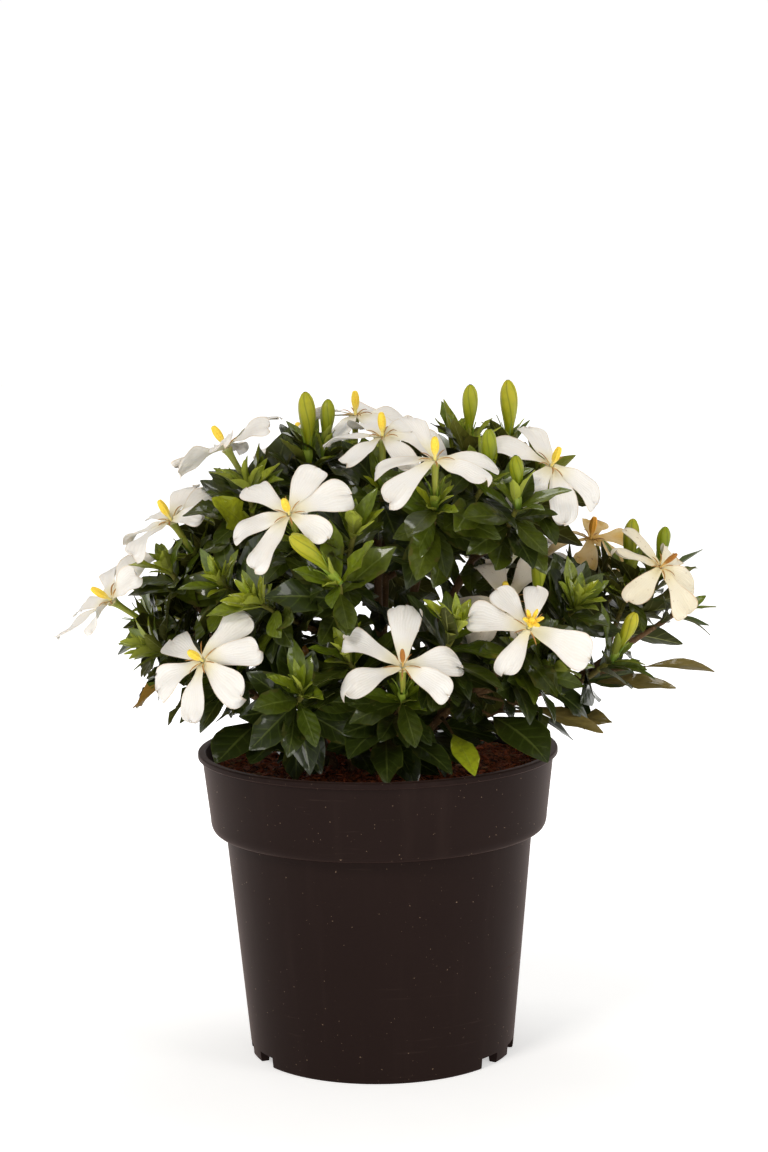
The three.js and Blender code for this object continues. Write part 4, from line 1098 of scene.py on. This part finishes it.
# ---------------------------------------------------------------- wood, calyxes and buds
def add_wood(skin, path, sizes, youths, draw, below=0.0):
    """A stem or twig in short stretches, each with its own youth and shade, with knots at its joints."""
    line = path.rounded(WOOD["points"])
    if below:
        line = np.vstack([line[0] - UP * below, line[0] - UP * below / 2, line])
    share = np.linspace(0, 1, len(line))
    joints = max(2, path.length / WOOD["knot_every"])
    knots = 1 + WOOD["knot"] * np.maximum(0, np.sin(share * np.pi * joints + 6 * draw())) ** 6
    radii = (sizes["foot_radius"] + (sizes["end_radius"] - sizes["foot_radius"]) * share) * knots
    old, young = youths
    stretch = WOOD["stretch"]
    for k in range(0, len(line) - 1, stretch):
        part = slice(k, min(len(line), k + stretch + 1))
        youth = old + (young - old) * share[k]
        skin.tube(line[part], radii[part], WOOD["sides"], (youth, draw(), 0))


def add_sepals(skin, base, axis, sizes, draw):
    """Narrow green sepals round a calyx, by their length, width and lean."""
    length, width, lean = sizes
    first, count, depth = 360 * draw(), SEPAL["count"], SEPAL["thickness"]
    share = np.linspace(0, 1, 7)
    for k in range(count):
        out = spun(axis, first + 360 * k / count + vary(draw, SEPAL["turn_span"]))
        opening = lean + vary(draw, SEPAL["lean_span"])
        reach = length * (1 + vary(draw, SEPAL["length_span"]))
        bend = opening * (0.4 + 0.9 * share)
        steps = np.array([axis * cos(b) + out * sin(b) for b in bend]) * reach / 6
        line = base + out * SEPAL["from_axis"] + np.vstack([np.zeros(3), np.cumsum(steps[:-1], axis=0)])
        across_leaf = unit(np.cross(axis, out))
        half = width / 2 * (1 - share) ** 0.7 * (0.55 + 0.45 * np.sin(np.pi * np.minimum(1, share * 1.6)))
        edge = across_leaf * half[:, None]
        grid = np.stack([line - edge, line + out * depth, line + edge], axis=1)
        tint = (1, draw(), 0)
        skin.grid(grid, tint, 1)
        skin.grid(grid - out * depth, tint, 1, flip=True)


def ribbed(count, depth, twist=0.0):
    """A tube's ribs, by the angle and the share of its length."""
    return lambda angles, share: 1 + depth * np.cos(count * angles + twist * share)


def add_calyx(skin, base, axis, length, radii, draw):
    """A ribbed green cup that widens from one radius to another."""
    low, high = radii
    share = np.linspace(0, 1, 9)
    line = base + np.outer(share * length, axis)
    radii = low + (high - low) * smooth(share * 1.3) + 0.25 * np.sin(np.pi * share)
    skin.tube(line, radii, 24, (1, draw(), 0), 1, ribs=ribbed(6, 0.09))


def bud_radii(share, broad):
    """A bud's outline: a slim tube, then a spindle that ends in a point."""
    stops, shares = zip(*BUD_OUTLINE)
    outline = np.interp(share, stops, shares)
    softened = np.convolve(np.pad(outline, 2, mode="edge"), np.full(5, 0.2), mode="valid")
    softened[-1] = outline[-1]
    return broad * softened


def add_bud(skin, shoot, draw):
    """A bud: a ribbed calyx with sepals, and the wound petals."""
    (base, axis), length = pose(shoot), shoot["length"]
    broad = BUD["slim"] + BUD["swell"] * length
    share = np.linspace(0, 1, 34)
    line = base + np.outer(share * length, axis)
    bend = unit(np.cross(axis, facing(360 * draw(), 10)))
    line = line + np.outer(BUD["bow"] * length * np.sin(np.pi * share), bend)

    def wound(angles, s):
        seams = np.abs(np.sin(3 * angles + BUD["seam_turns"] * s + 1))
        return 1 + BUD["seam"] * smooth((s - 0.2) / 0.3) * seams

    least, span = BUD["ripe"]
    ripe = 0.75 * max(shoot.get("pale", 0), float(np.clip((length - least) / span, 0, 1))) + 0.25 * draw()
    skin.tube(line, bud_radii(share, broad), 36, (1, ripe, 0), 2, ribs=wound)
    sunk, radii = BUD["sunk"], (BUD["foot_radius"], BUD["calyx_width"] * broad)
    add_calyx(skin, base - axis * sunk, axis, BUD["calyx"] * length + sunk, radii, draw)
    reach, width, lean = BUD["sepals"]
    add_sepals(skin, base + axis * BUD["sepals_at"] * length, axis, (reach * length, width, lean), draw)


# ---------------------------------------------------------------- blooms
def petal_outline(t):
    """How much of its half width a petal has: a narrow claw, and a broad end with rounded corners."""
    claw = 0.17 + 0.83 * np.clip(t / 0.82, 0, 1) ** 1.15
    widening = claw * (1 - 0.1 * smooth((t - 0.6) / 0.25))
    end = np.clip((t - 0.8) / (1.03 - 0.8), 0, 1)
    return widening / 0.93 * (1 - end**3.2) ** (1 / 2.6)


def petal_points(shoot, one, draw, play, rows=17, columns=11):
    """A petal's middle surface, spooned as its solid is, with waves, a rolled edge and a skewed end."""
    turn, lift, size = one
    throat, axis = pose(shoot)
    out = spun(axis, turn)
    side = np.cross(axis, out)
    scale = size * shoot.get("size", 1)
    length = PETAL["length"] * scale * (1 + vary(draw, PETAL["length_span"]))
    half = PETAL["width"] / 2 * scale * (1 + vary(draw, PETAL["width_span"]))
    rise = PETAL["rise"] + lift + vary(draw, PETAL["rise_span"])
    droop = PETAL["droop"] + vary(draw, PETAL["droop_span"])
    twist = math.radians(PETAL["twist"] * (1 + vary(draw, PETAL["twist_span"])))
    t = 1.03 * np.sin(np.linspace(0.03, 1, rows) * np.pi / 2)
    u = np.linspace(-1, 1, columns)
    tt, uu = np.meshgrid(t, u, indexing="ij")
    width = half * petal_outline(tt)
    share = uu * width / half
    own = PETAL_PLAY
    skew, notch, phase = vary(play, own["skew"]), drawn(play, own["notch"]), 2 * np.pi * play()
    roll, wave, flip = vary(play, own["roll"]), drawn(play, own["wave"]), 0.6 * (play() - 0.4)
    crumple, corner = drawn(play, own["crumple"]), drawn(play, own["corner"])
    curled = 1 if play() < 0.5 else -1
    notched = tt * (1 - notch * np.exp(-((uu / 0.3) ** 2)) * smooth((tt - 0.8) / 0.2))
    reach = length * (notched + skew * 0.3 * uu * smooth((tt - 0.5) / 0.5) * 0.5)
    aside = half * share + skew * length * 0.22 * tt**2
    height = length * (rise * tt - droop * tt**2) + half * (share * math.sin(twist) + PETAL["cup"] * share**2)
    height = height + half * wave * np.sin(2 * np.pi * 1.3 * tt + phase + 1.3 * uu) * uu**2 * smooth(tt / 0.4)
    height = height + half * roll * np.abs(uu) ** 3 * smooth((tt - 0.2) / 0.5) * np.sign(uu)
    height = height - half * flip * smooth((tt - 0.72) / 0.3) ** 2
    height = height - half * corner * (smooth((tt - 0.55) / 0.5) * smooth(uu * curled)) ** 2
    crease = np.sin(2 * np.pi * (2.1 * uu + 0.7 * tt) + 2 * phase)
    height = height + half * crumple * crease * smooth((tt - 0.45) / 0.5)
    height = height + 0.5 * (1 - smooth(tt / 0.3)) * uu**2 * 2.0
    points = throat + reach[..., None] * out + (aside * math.cos(twist))[..., None] * side
    return points + height[..., None] * axis


def add_throat(skin, shoot):
    """The tube, opening into the throat that the petals leave."""
    heights, radii = zip(*THROAT)
    throat, axis = pose(shoot)
    line = throat + np.outer(heights, axis)
    right, above = across(axis)
    angles = np.linspace(0, 2 * np.pi, 31)
    ribs = 1 + 0.05 * np.cos(6 * angles)
    rings = np.outer(np.cos(angles) * ribs, right) + np.outer(np.sin(angles) * ribs, above)
    grid = line[:, None, :] + np.array(radii)[:, None, None] * rings[None]
    skin.grid(grid, (0, 0, 0.9 if shoot.get("aged") else 0.0), 1)


def add_stamens(skin, shoot, betweens, play):
    """Six slender brown anthers that lie out between the petals."""
    out_by, up_by = STAMEN["foot"]
    throat, axis = pose(shoot)
    share = np.linspace(0, 1, 9)
    for turn in betweens:
        out = spun(axis, turn + vary(play, STAMEN["turn_span"]))
        length = STAMEN["length"] * (1 + vary(play, STAMEN["length_span"])) * shoot.get("size", 1)
        rise = drawn(play, STAMEN["rise"])
        line = throat + np.outer(out_by + share * length, out)
        line = line + np.outer(up_by + rise * np.sin(share * 2.4), axis)
        radii = 0.24 + 0.2 * np.sin(np.pi * np.clip(share * 1.05, 0, 1))
        radii[-1] = 0.06
        skin.tube(line, radii, 7, (0, play(), 0), 2, squash=STAMEN["squash"])


def make_bloom(number, shoot, draw, play):
    """One bloom: its petals, throat and stamens in one piece, and its pistil in another."""
    skin = Skin()
    petals = sorted(shoot["petals"])
    _, axis = pose(shoot)
    age = next((age for look, age in AGES.items() if shoot.get(look)), 0.0)
    for one in petals:
        points = petal_points(shoot, one, draw, play)
        ends = np.minimum(1, 5 * (1 - np.linspace(0, 1, len(points))))
        skin.blade(points, axis, PETAL["thickness"] * ends, (0, play(), age), 0)
    add_throat(skin, shoot)
    turns = [one[0] for one in petals]
    nexts = turns[1:] + [turns[0] + 360]
    betweens = [(a + b) / 2 for a, b in zip(turns, nexts)]
    if len(betweens) < 6:
        widest = max(range(len(turns)), key=lambda k: nexts[k] - turns[k])
        betweens.append(betweens[widest] + 25)
    add_stamens(skin, shoot, betweens, play)
    petal = "aged_petal" if shoot.get("aged") else "petal"
    made = skin.make("flower_" + number, [petal, "tube", "stamen"])
    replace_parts(made, "bloom_" + number)
    make_pistil(number, shoot, play)


def make_pistil(number, shoot, play):
    """The club-shaped stigma on its style. A split one opens into six lobes, and a faded one has shrunk."""
    skin = Skin()
    throat, axis = pose(shoot)
    share = np.linspace(0, 1, 30)
    club = PISTIL["slim"] + PISTIL["swell"] * np.sin(np.pi * np.clip((share - 0.22) / 0.8, 0, 1)) ** 0.7
    stout = PISTIL["faded"] if shoot.get("faded") else 1.0
    radii = np.where(share > 0.97, 0.5, club) * stout
    radii[-1] = 0.05
    lean = unit(np.cross(axis, facing(360 * play(), 20)))
    foot, top = PISTIL["foot"], PISTIL["length"]
    line = throat + np.outer(foot + share * (top - foot), axis)
    line = line + np.outer(PISTIL["bow"] * share**2, lean)
    skin.tube(line, radii, 30, ribs=ribbed(6, 0.12, 1.4))
    if shoot.get("split"):
        s = np.linspace(0, 1, 8)
        for k in range(6):
            lobe = throat + np.outer(7 + 7 * np.sin(s * 1.5), axis)
            lobe = lobe + np.outer(0.8 + 4.6 * s, spun(axis, 60 * k))
            skin.tube(lobe, 0.15 + 0.95 * np.sin(np.pi * np.clip(s * 0.93 + 0.05, 0, 1)) ** 0.6, 9)
    kind = "faded_pistil" if shoot.get("faded") else "aged_pistil" if shoot.get("aged") else "pistil"
    made = skin.make("stigma_" + number, [kind])
    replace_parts(made, "pistil_" + number)


# ---------------------------------------------------------------- pot and soil
def pot_outline():
    """The pot's section as (radius, height), from the pad out, up, over the lip and down the inside."""
    base, waist = POT["base_radius"], POT["waist_radius"]
    low, rim = POT["collar_foot_radius"], POT["rim_radius"]
    foot, high, wall, pad = POT["collar_foot"], POT["height"], POT["wall"], POT["pad_radius"]
    floor_low, floor_high, edge = POT["floor_low"], POT["floor_high"], POT["edge"]
    collar_top, lip_foot = rim - POT["lip_overhang"], high - POT["lip_depth"]
    inside, ring_inside = collar_top - wall, base - POT["foot_width"]
    round_radius, round_height = POT["collar_round"]
    round_top, lip_round = foot + 0.6 + round_height, POT["lip_round"]
    lower_wall = [
        (base + (waist - base) * share, edge + (foot - 0.6 - edge) * share)
        for share in np.linspace(0.02, 1, 12)
    ]
    collar_round = [
        (low - round_radius * (1 - cos(a) ** 0.8), foot + 0.6 + round_height * (1 + sin(a)))
        for a in range(-90, 1, 15)
    ]
    collar = [
        (low + (collar_top - low) * share, round_top + (lip_foot - round_top) * share)
        for share in (0.25, 0.5, 0.75, 1)
    ]
    lip = [
        (rim - lip_round * (1 - cos(a)), high - lip_round * (1 - sin(a))) for a in range(0, 91, 15)
    ]
    return [
        (0, 0), (pad - edge, 0), (pad, floor_low), (ring_inside - edge, floor_low), (ring_inside, 0.3),
        (ring_inside + 0.3, 0), (base - edge, 0), (base, edge), *lower_wall,
        (waist + edge, foot - 0.3), (waist + 2, foot), *collar_round, *collar,
        (collar_top + 0.2, lip_foot + 0.2), (rim - edge, lip_foot + edge), (rim, lip_foot + 2 * edge), *lip,
        (inside + 0.6, high), (inside, high - 0.6), (low - wall, foot + 8), (waist - wall, foot - 2),
        (base - wall, floor_high), (0, floor_high),
    ]


def notch_cutter(from_turn):
    """A block that cuts the foot ring, from one turn about the pot's axis."""
    near, far = POT["base_radius"] - NOTCH["inside"], POT["base_radius"] + NOTCH["outside"]
    corners = []
    for z in (-NOTCH["below"], NOTCH["height"]):
        for radius, turn in ((near, 0), (far, 0), (far, NOTCH["span"]), (near, NOTCH["span"])):
            x, y = radius * sin(from_turn + turn), -radius * cos(from_turn + turn)
            corners.append((x * MM, y * MM, z * MM))
    faces = [(0, 3, 2, 1), (4, 5, 6, 7), (0, 1, 5, 4), (1, 2, 6, 5), (2, 3, 7, 6), (3, 0, 4, 7)]
    return new_object("cutter", new_mesh("cutter", corners, faces))


def make_pot():
    """The pot, turned from its section, with the notches cut through its foot ring."""
    sides = POT["sides"]
    ring = [(math.sin(2 * math.pi * k / sides), -math.cos(2 * math.pi * k / sides)) for k in range(sides)]
    points, rows = [], []
    for radius, height in pot_outline():
        if radius == 0:
            rows.append([len(points)] * sides)
            points.append((0, 0, height * MM))
        else:
            rows.append(list(range(len(points), len(points) + sides)))
            points += [(radius * x * MM, radius * y * MM, height * MM) for x, y in ring]
    faces = []
    for low, high in zip(rows, rows[1:]):
        for k in range(sides):
            m = (k + 1) % sides
            faces.append(list(dict.fromkeys((low[k], low[m], high[m], high[k]))))
    pot = new_object("nursery_pot", new_mesh("nursery_pot", points, faces))
    cutters = []
    step = (180 - NOTCH["foot_span"] - NOTCH["span"]) / NOTCH["small_feet"]  # from one notch to the next
    for side in (0, 180):
        for k in range(NOTCH["small_feet"] + 1):
            start = NOTCH["turn"] + side + NOTCH["foot_span"] / 2 + k * step
            cutters.append(notch_cutter(start))
            cut = pot.modifiers.new("notch", "BOOLEAN")
            cut.object, cut.solver = cutters[-1], "EXACT"
    bpy.context.view_layer.update()
    whole = bpy.data.meshes.new_from_object(pot.evaluated_get(bpy.context.evaluated_depsgraph_get()))
    pot.modifiers.clear()
    pot.data = whole
    for cutter in cutters:
        bpy.data.objects.remove(cutter)
    whole.materials.clear()
    whole.materials.append(MATERIALS["pot"])
    whole.shade_smooth()
    whole.set_sharp_from_angle(angle=math.radians(38))
    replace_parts(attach(pot, "root"), "pot")


def soil_height(x, y):
    """The compost's top: a low mound, clumpy, that sinks a little to the wall."""
    radius = np.hypot(x, y)
    top = SOIL["level"] + SOIL["mound"] * (1 - radius / SOIL["mound_radius"])
    clumps = 1.1 * np.sin(0.31 * x + 1.7) * np.cos(0.27 * y - 0.6)
    clumps = clumps + 0.8 * np.sin(0.83 * x + 0.4 * y) * np.sin(0.71 * y - 0.33 * x + 2)
    from_wall = (SOIL["mound_radius"] - radius) / SOIL["level_edge"]
    return top + clumps * smooth(from_wall)


def make_soil(rng):
    """The compost with its rough top, and bark and coir chips lying in it."""
    skin = Skin()
    brim, rings = SOIL["brim"], SOIL["rings"]
    inside_floor = POT["floor_high"] + 0.5
    side = [(brim, SOIL["level"] - 10), (78, POT["collar_foot"] - 4), (68, inside_floor), (0, inside_floor)]
    radii = np.concatenate([np.linspace(0, brim, rings), [radius for radius, _ in side]])
    rr, aa = np.meshgrid(radii, np.linspace(0, 2 * np.pi, SOIL["sides"] + 1), indexing="ij")
    x, y = rr * np.sin(aa), -rr * np.cos(aa)
    rough = rng.normal(0, SOIL["rough"], rr.shape)
    rough[:, -1] = rough[:, 0]
    rough[0] = rough[0, 0]
    z = soil_height(x, y) + rough
    z[rings:] = [[height] for _, height in side]
    skin.grid(np.stack([x, y, z], axis=-1))
    made = skin.make("compost", ["soil"])
    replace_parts(made, "soil")

    chips = Skin()
    share = np.linspace(0, 1, 6)
    for _ in range(CHIPS["count"]):
        radius, angle = CHIPS["reach"] * math.sqrt(rng.random()), 360 * rng.random()
        x, y = radius * sin(angle), -radius * cos(angle)
        length = rng.uniform(*CHIPS["length"])
        along = unit(point((rng.normal(), rng.normal(), rng.normal(0, 0.25))))
        centre = point((x, y, float(soil_height(x, y)) + rng.uniform(-0.2, 0.7)))
        bow = np.sin(np.pi * share) * rng.normal(0, 0.5)
        line = centre + np.outer((share - 0.5) * length, along) + np.outer(bow, UP)
        thick = rng.uniform(*CHIPS["radius"]) * np.sin(np.pi * (0.08 + 0.84 * share)) ** 0.4
        radii = thick * rng.uniform(0.8, 1.2, len(share))
        if np.hypot(line[:, 0], line[:, 1]).max() < CHIPS["edge"]:
            tint = (0, rng.random(), 0.8 * (rng.random() < CHIPS["pale_share"]))
            chips.tube(line, radii, 6, tint, squash=rng.uniform(0.35, 0.8))
    chips.make("compost_chips", ["chips"])


# ---------------------------------------------------------------- the whole plant
def make_plant():
    """The blooms, then each stem with its leaves: those of its solid, and finer ones where there is room."""
    blooms = [shoot for stem in STEMS for shoot in stem[3] if shoot["kind"] == "bloom"]
    petal_draw, play = draws_from(SEEDS["solid_petals"]), draws_from(SEEDS["petals"])
    room = Room(blooms)
    for i, shoot in enumerate(blooms):
        make_bloom(f"{i + 1:02d}", shoot, petal_draw, play)

    grown = []
    for s, (name, foot, crown, shoots, lone_leaves) in enumerate(STEMS):
        trunk = stem_path(foot, crown)
        twigs = [twig_path(shoot, i, trunk) for i, shoot in enumerate(shoots)]
        draw = stem_draws("solid_leaves", s)
        wanted = [solid_lone_leaf(leaf, trunk) for leaf in lone_leaves]
        for shoot, twig in zip(shoots, twigs):
            wanted += whorled(WHORLS[shoot["kind"]], twig, LEAF, draw)
        wanted += solid_low_leaves(trunk, draw)
        tree = corner_tree("stem_" + name)
        leaves = [leaf for leaf in (as_built(ways, tree) for ways in wanted) if leaf]
        for leaf in leaves:
            if leaf.get("lone"):
                on_stalk(leaf)
            else:
                leaf["length"] *= SLIM[0]
                leaf["width"] *= SLIM[1]
            room.take(leaf)
        grown.append(dict(name=name, trunk=trunk, twigs=twigs, shoots=shoots, leaves=leaves))
    room.settle()

    for s, stem in enumerate(grown):
        draw = stem_draws("fine", s)
        for shoot, twig in zip(stem["shoots"], stem["twigs"]):
            wanted = whorled(FINE_WHORLS[shoot["kind"]], twig, FINE_LEAF, draw)
            room.fill(stem, wanted, lambda leaf: APART["old"] if leaf["youth"] < 0.5 else APART["young"])
            room.settle()
    for s, stem in enumerate(grown):
        tries = OPEN_STEMS.get(stem["name"], INNER_TRIES)
        wanted = inner_ways([stem["trunk"], *stem["twigs"]], stem_draws("inner", s), tries)
        room.fill(stem, wanted, lambda leaf: APART["inner"], at_once=True)
    name, shoot, *pale = PALE_LEAF
    bearer = next(stem for stem in grown if stem["name"] == name)
    leaf = solid_lone_leaf(pale, bearer["twigs"][shoot])[0]
    leaf.update(special="lime", normal=shown(leaf["along"], PALE_ROLL))
    bearer["leaves"].append(leaf)
    mark_special(grown)
    for s, stem in enumerate(grown):
        dress_stem(stem, stem_draws("dress", s))


def mark_special(grown):
    """Marks the leaf that is nearest to each special place."""
    everything = [leaf for stem in grown for leaf in stem["leaves"]]
    middles = point([leaf["root"] + leaf["along"] * leaf["length"] * 0.6 for leaf in everything])
    for place, kind in SPECIAL_LEAVES:
        nearest = np.argmin(np.linalg.norm(middles - point(place), axis=1))
        everything[nearest]["special"] = kind


def dress_stem(stem, draw):
    """One stem's leaves in one piece, and its wood, calyxes and buds in another."""
    leaves = Skin()
    for leaf in stem["leaves"]:
        rows, columns = LEAF_GRIDS["small" if leaf["length"] < SMALL_LEAF else "large"]
        grid = leaf_points(leaf, draw, rows, columns)
        ends = np.minimum(1, 6 * np.sin(np.pi * np.linspace(0, 1, len(grid))))
        leaves.blade(grid, leaf["normal"], BLADE_THICKNESS * ends, leaf_tint(leaf, draw), 1)
    made = leaves.make("leaves_" + stem["name"], ["leaf_top", "leaf_under"])
    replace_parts(made, "stem_" + stem["name"])

    wood = Skin()
    add_wood(wood, stem["trunk"], STEM, STEM["youth"], draw, below=STEM["sunk"])
    for leaf in stem["leaves"]:
        if "stalk" in leaf:
            radii = np.linspace(*STALK["radii"], len(leaf["stalk"]))
            wood.tube(leaf["stalk"], radii, 8, (STALK["youth"], draw(), 0))
    for shoot, twig in zip(stem["shoots"], stem["twigs"]):
        add_wood(wood, twig, TWIG, TWIG["sprig_youth" if shoot["kind"] == "sprig" else "youth"], draw)
        _, axis = pose(shoot)
        if shoot["kind"] == "bloom":
            sunk, length = BLOOM["calyx_sunk"], BLOOM["calyx"]
            radii = TWIG["end_radius"], BLOOM["calyx_radius"]
            add_calyx(wood, twig.end - axis * sunk, axis, length + sunk, radii, draw)
            add_sepals(wood, twig.end + axis * length * BLOOM["sepals_at"], axis, BLOOM["sepals"], draw)
        elif shoot["kind"] == "bud":
            add_bud(wood, shoot, draw)
    made = wood.make("wood_" + stem["name"], ["bark", "calyx", "bud"])
    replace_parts(made, "stem_" + stem["name"])


# ---------------------------------------------------------------- stage, light and camera
def make_stage():
    """A wide level floor, whose material glows white away from the pot."""
    half = FLOOR["half"]
    corners = [(-half, -half, 0), (half, -half, 0), (half, half, 0), (-half, half, 0)]
    floor = new_object("floor", new_mesh("floor", corners, [(0, 1, 2, 3)]))
    floor.data.materials.append(MATERIALS["floor"])


def add_light(name, place, size, power, color, aim=(0, 0, 0.2)):
    """A soft box that faces the plant."""
    light = bpy.data.lights.new(name, "AREA")
    light.shape, light.size, light.size_y = "RECTANGLE", *size
    light.energy, light.color = power, color
    made = new_object(name, light)
    made.location = place
    made.rotation_euler = (Vector(aim) - Vector(place)).to_track_quat("-Z", "Y").to_euler()


def make_light():
    """A white studio, dimmer overhead, with three soft boxes: left, right and above."""
    scene = bpy.context.scene
    scene.world = scene.world or bpy.data.worlds.new("world")
    scene.world.use_nodes = True
    tree = scene.world.node_tree
    place = tree.nodes.new("ShaderNodeTexCoord")
    split = tree.nodes.new("ShaderNodeSeparateXYZ")
    fade = tree.nodes.new("ShaderNodeMapRange")
    fade.interpolation_type = "SMOOTHSTEP"
    for socket, value in zip(("From Min", "From Max", "To Min", "To Max"), SKY):
        fade.inputs[socket].default_value = value
    tree.links.new(place.outputs["Generated"], split.inputs[0])
    tree.links.new(split.outputs["Z"], fade.inputs["Value"])
    sky = tree.nodes["Background"]
    sky.inputs["Color"].default_value = (1.0, 0.995, 0.985, 1)
    tree.links.new(fade.outputs["Result"], sky.inputs["Strength"])
    scene.view_settings.view_transform = "Standard"
    scene.view_settings.look = "None"
    for light in LIGHTS:
        add_light(*light)


def make_camera():
    """The photograph's view: a little above the plant, looking slightly down, and tilted by a degree."""
    yaw, pitch, roll = CAMERA["yaw"], CAMERA["pitch"], CAMERA["roll"]
    level = Vector((math.cos(yaw), math.sin(yaw), 0))
    ahead = Vector((-math.sin(yaw), math.cos(yaw), 0)) * math.cos(pitch) - Vector((0, 0, math.sin(pitch)))
    above = level.cross(ahead)
    right = level * math.cos(roll) + above * math.sin(roll)
    up = above * math.cos(roll) - level * math.sin(roll)
    camera = bpy.data.cameras.new("camera")
    sensor = CAMERA["sensor"]
    camera.sensor_fit, camera.sensor_width, camera.sensor_height = "AUTO", sensor, sensor
    camera.lens = CAMERA["focal"] / CAMERA["image_height"] * sensor
    camera.clip_end = CAMERA["far"]
    made = new_object("camera", camera)
    turn = Matrix((right, up, -ahead)).transposed()
    made.matrix_world = Matrix.Translation(Vector(CAMERA["place"]) * MM) @ turn.to_4x4()
    bpy.context.scene.camera = made


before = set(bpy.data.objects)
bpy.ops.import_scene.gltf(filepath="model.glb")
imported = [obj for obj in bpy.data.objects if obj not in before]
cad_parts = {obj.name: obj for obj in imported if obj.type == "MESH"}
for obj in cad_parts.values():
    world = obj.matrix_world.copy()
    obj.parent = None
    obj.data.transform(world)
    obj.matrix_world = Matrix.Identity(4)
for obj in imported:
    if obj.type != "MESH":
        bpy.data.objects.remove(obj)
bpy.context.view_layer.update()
make_camera()
make_light()
make_stage()
make_pot()
make_soil(np.random.default_rng(SEEDS["soil"]))
make_plant()
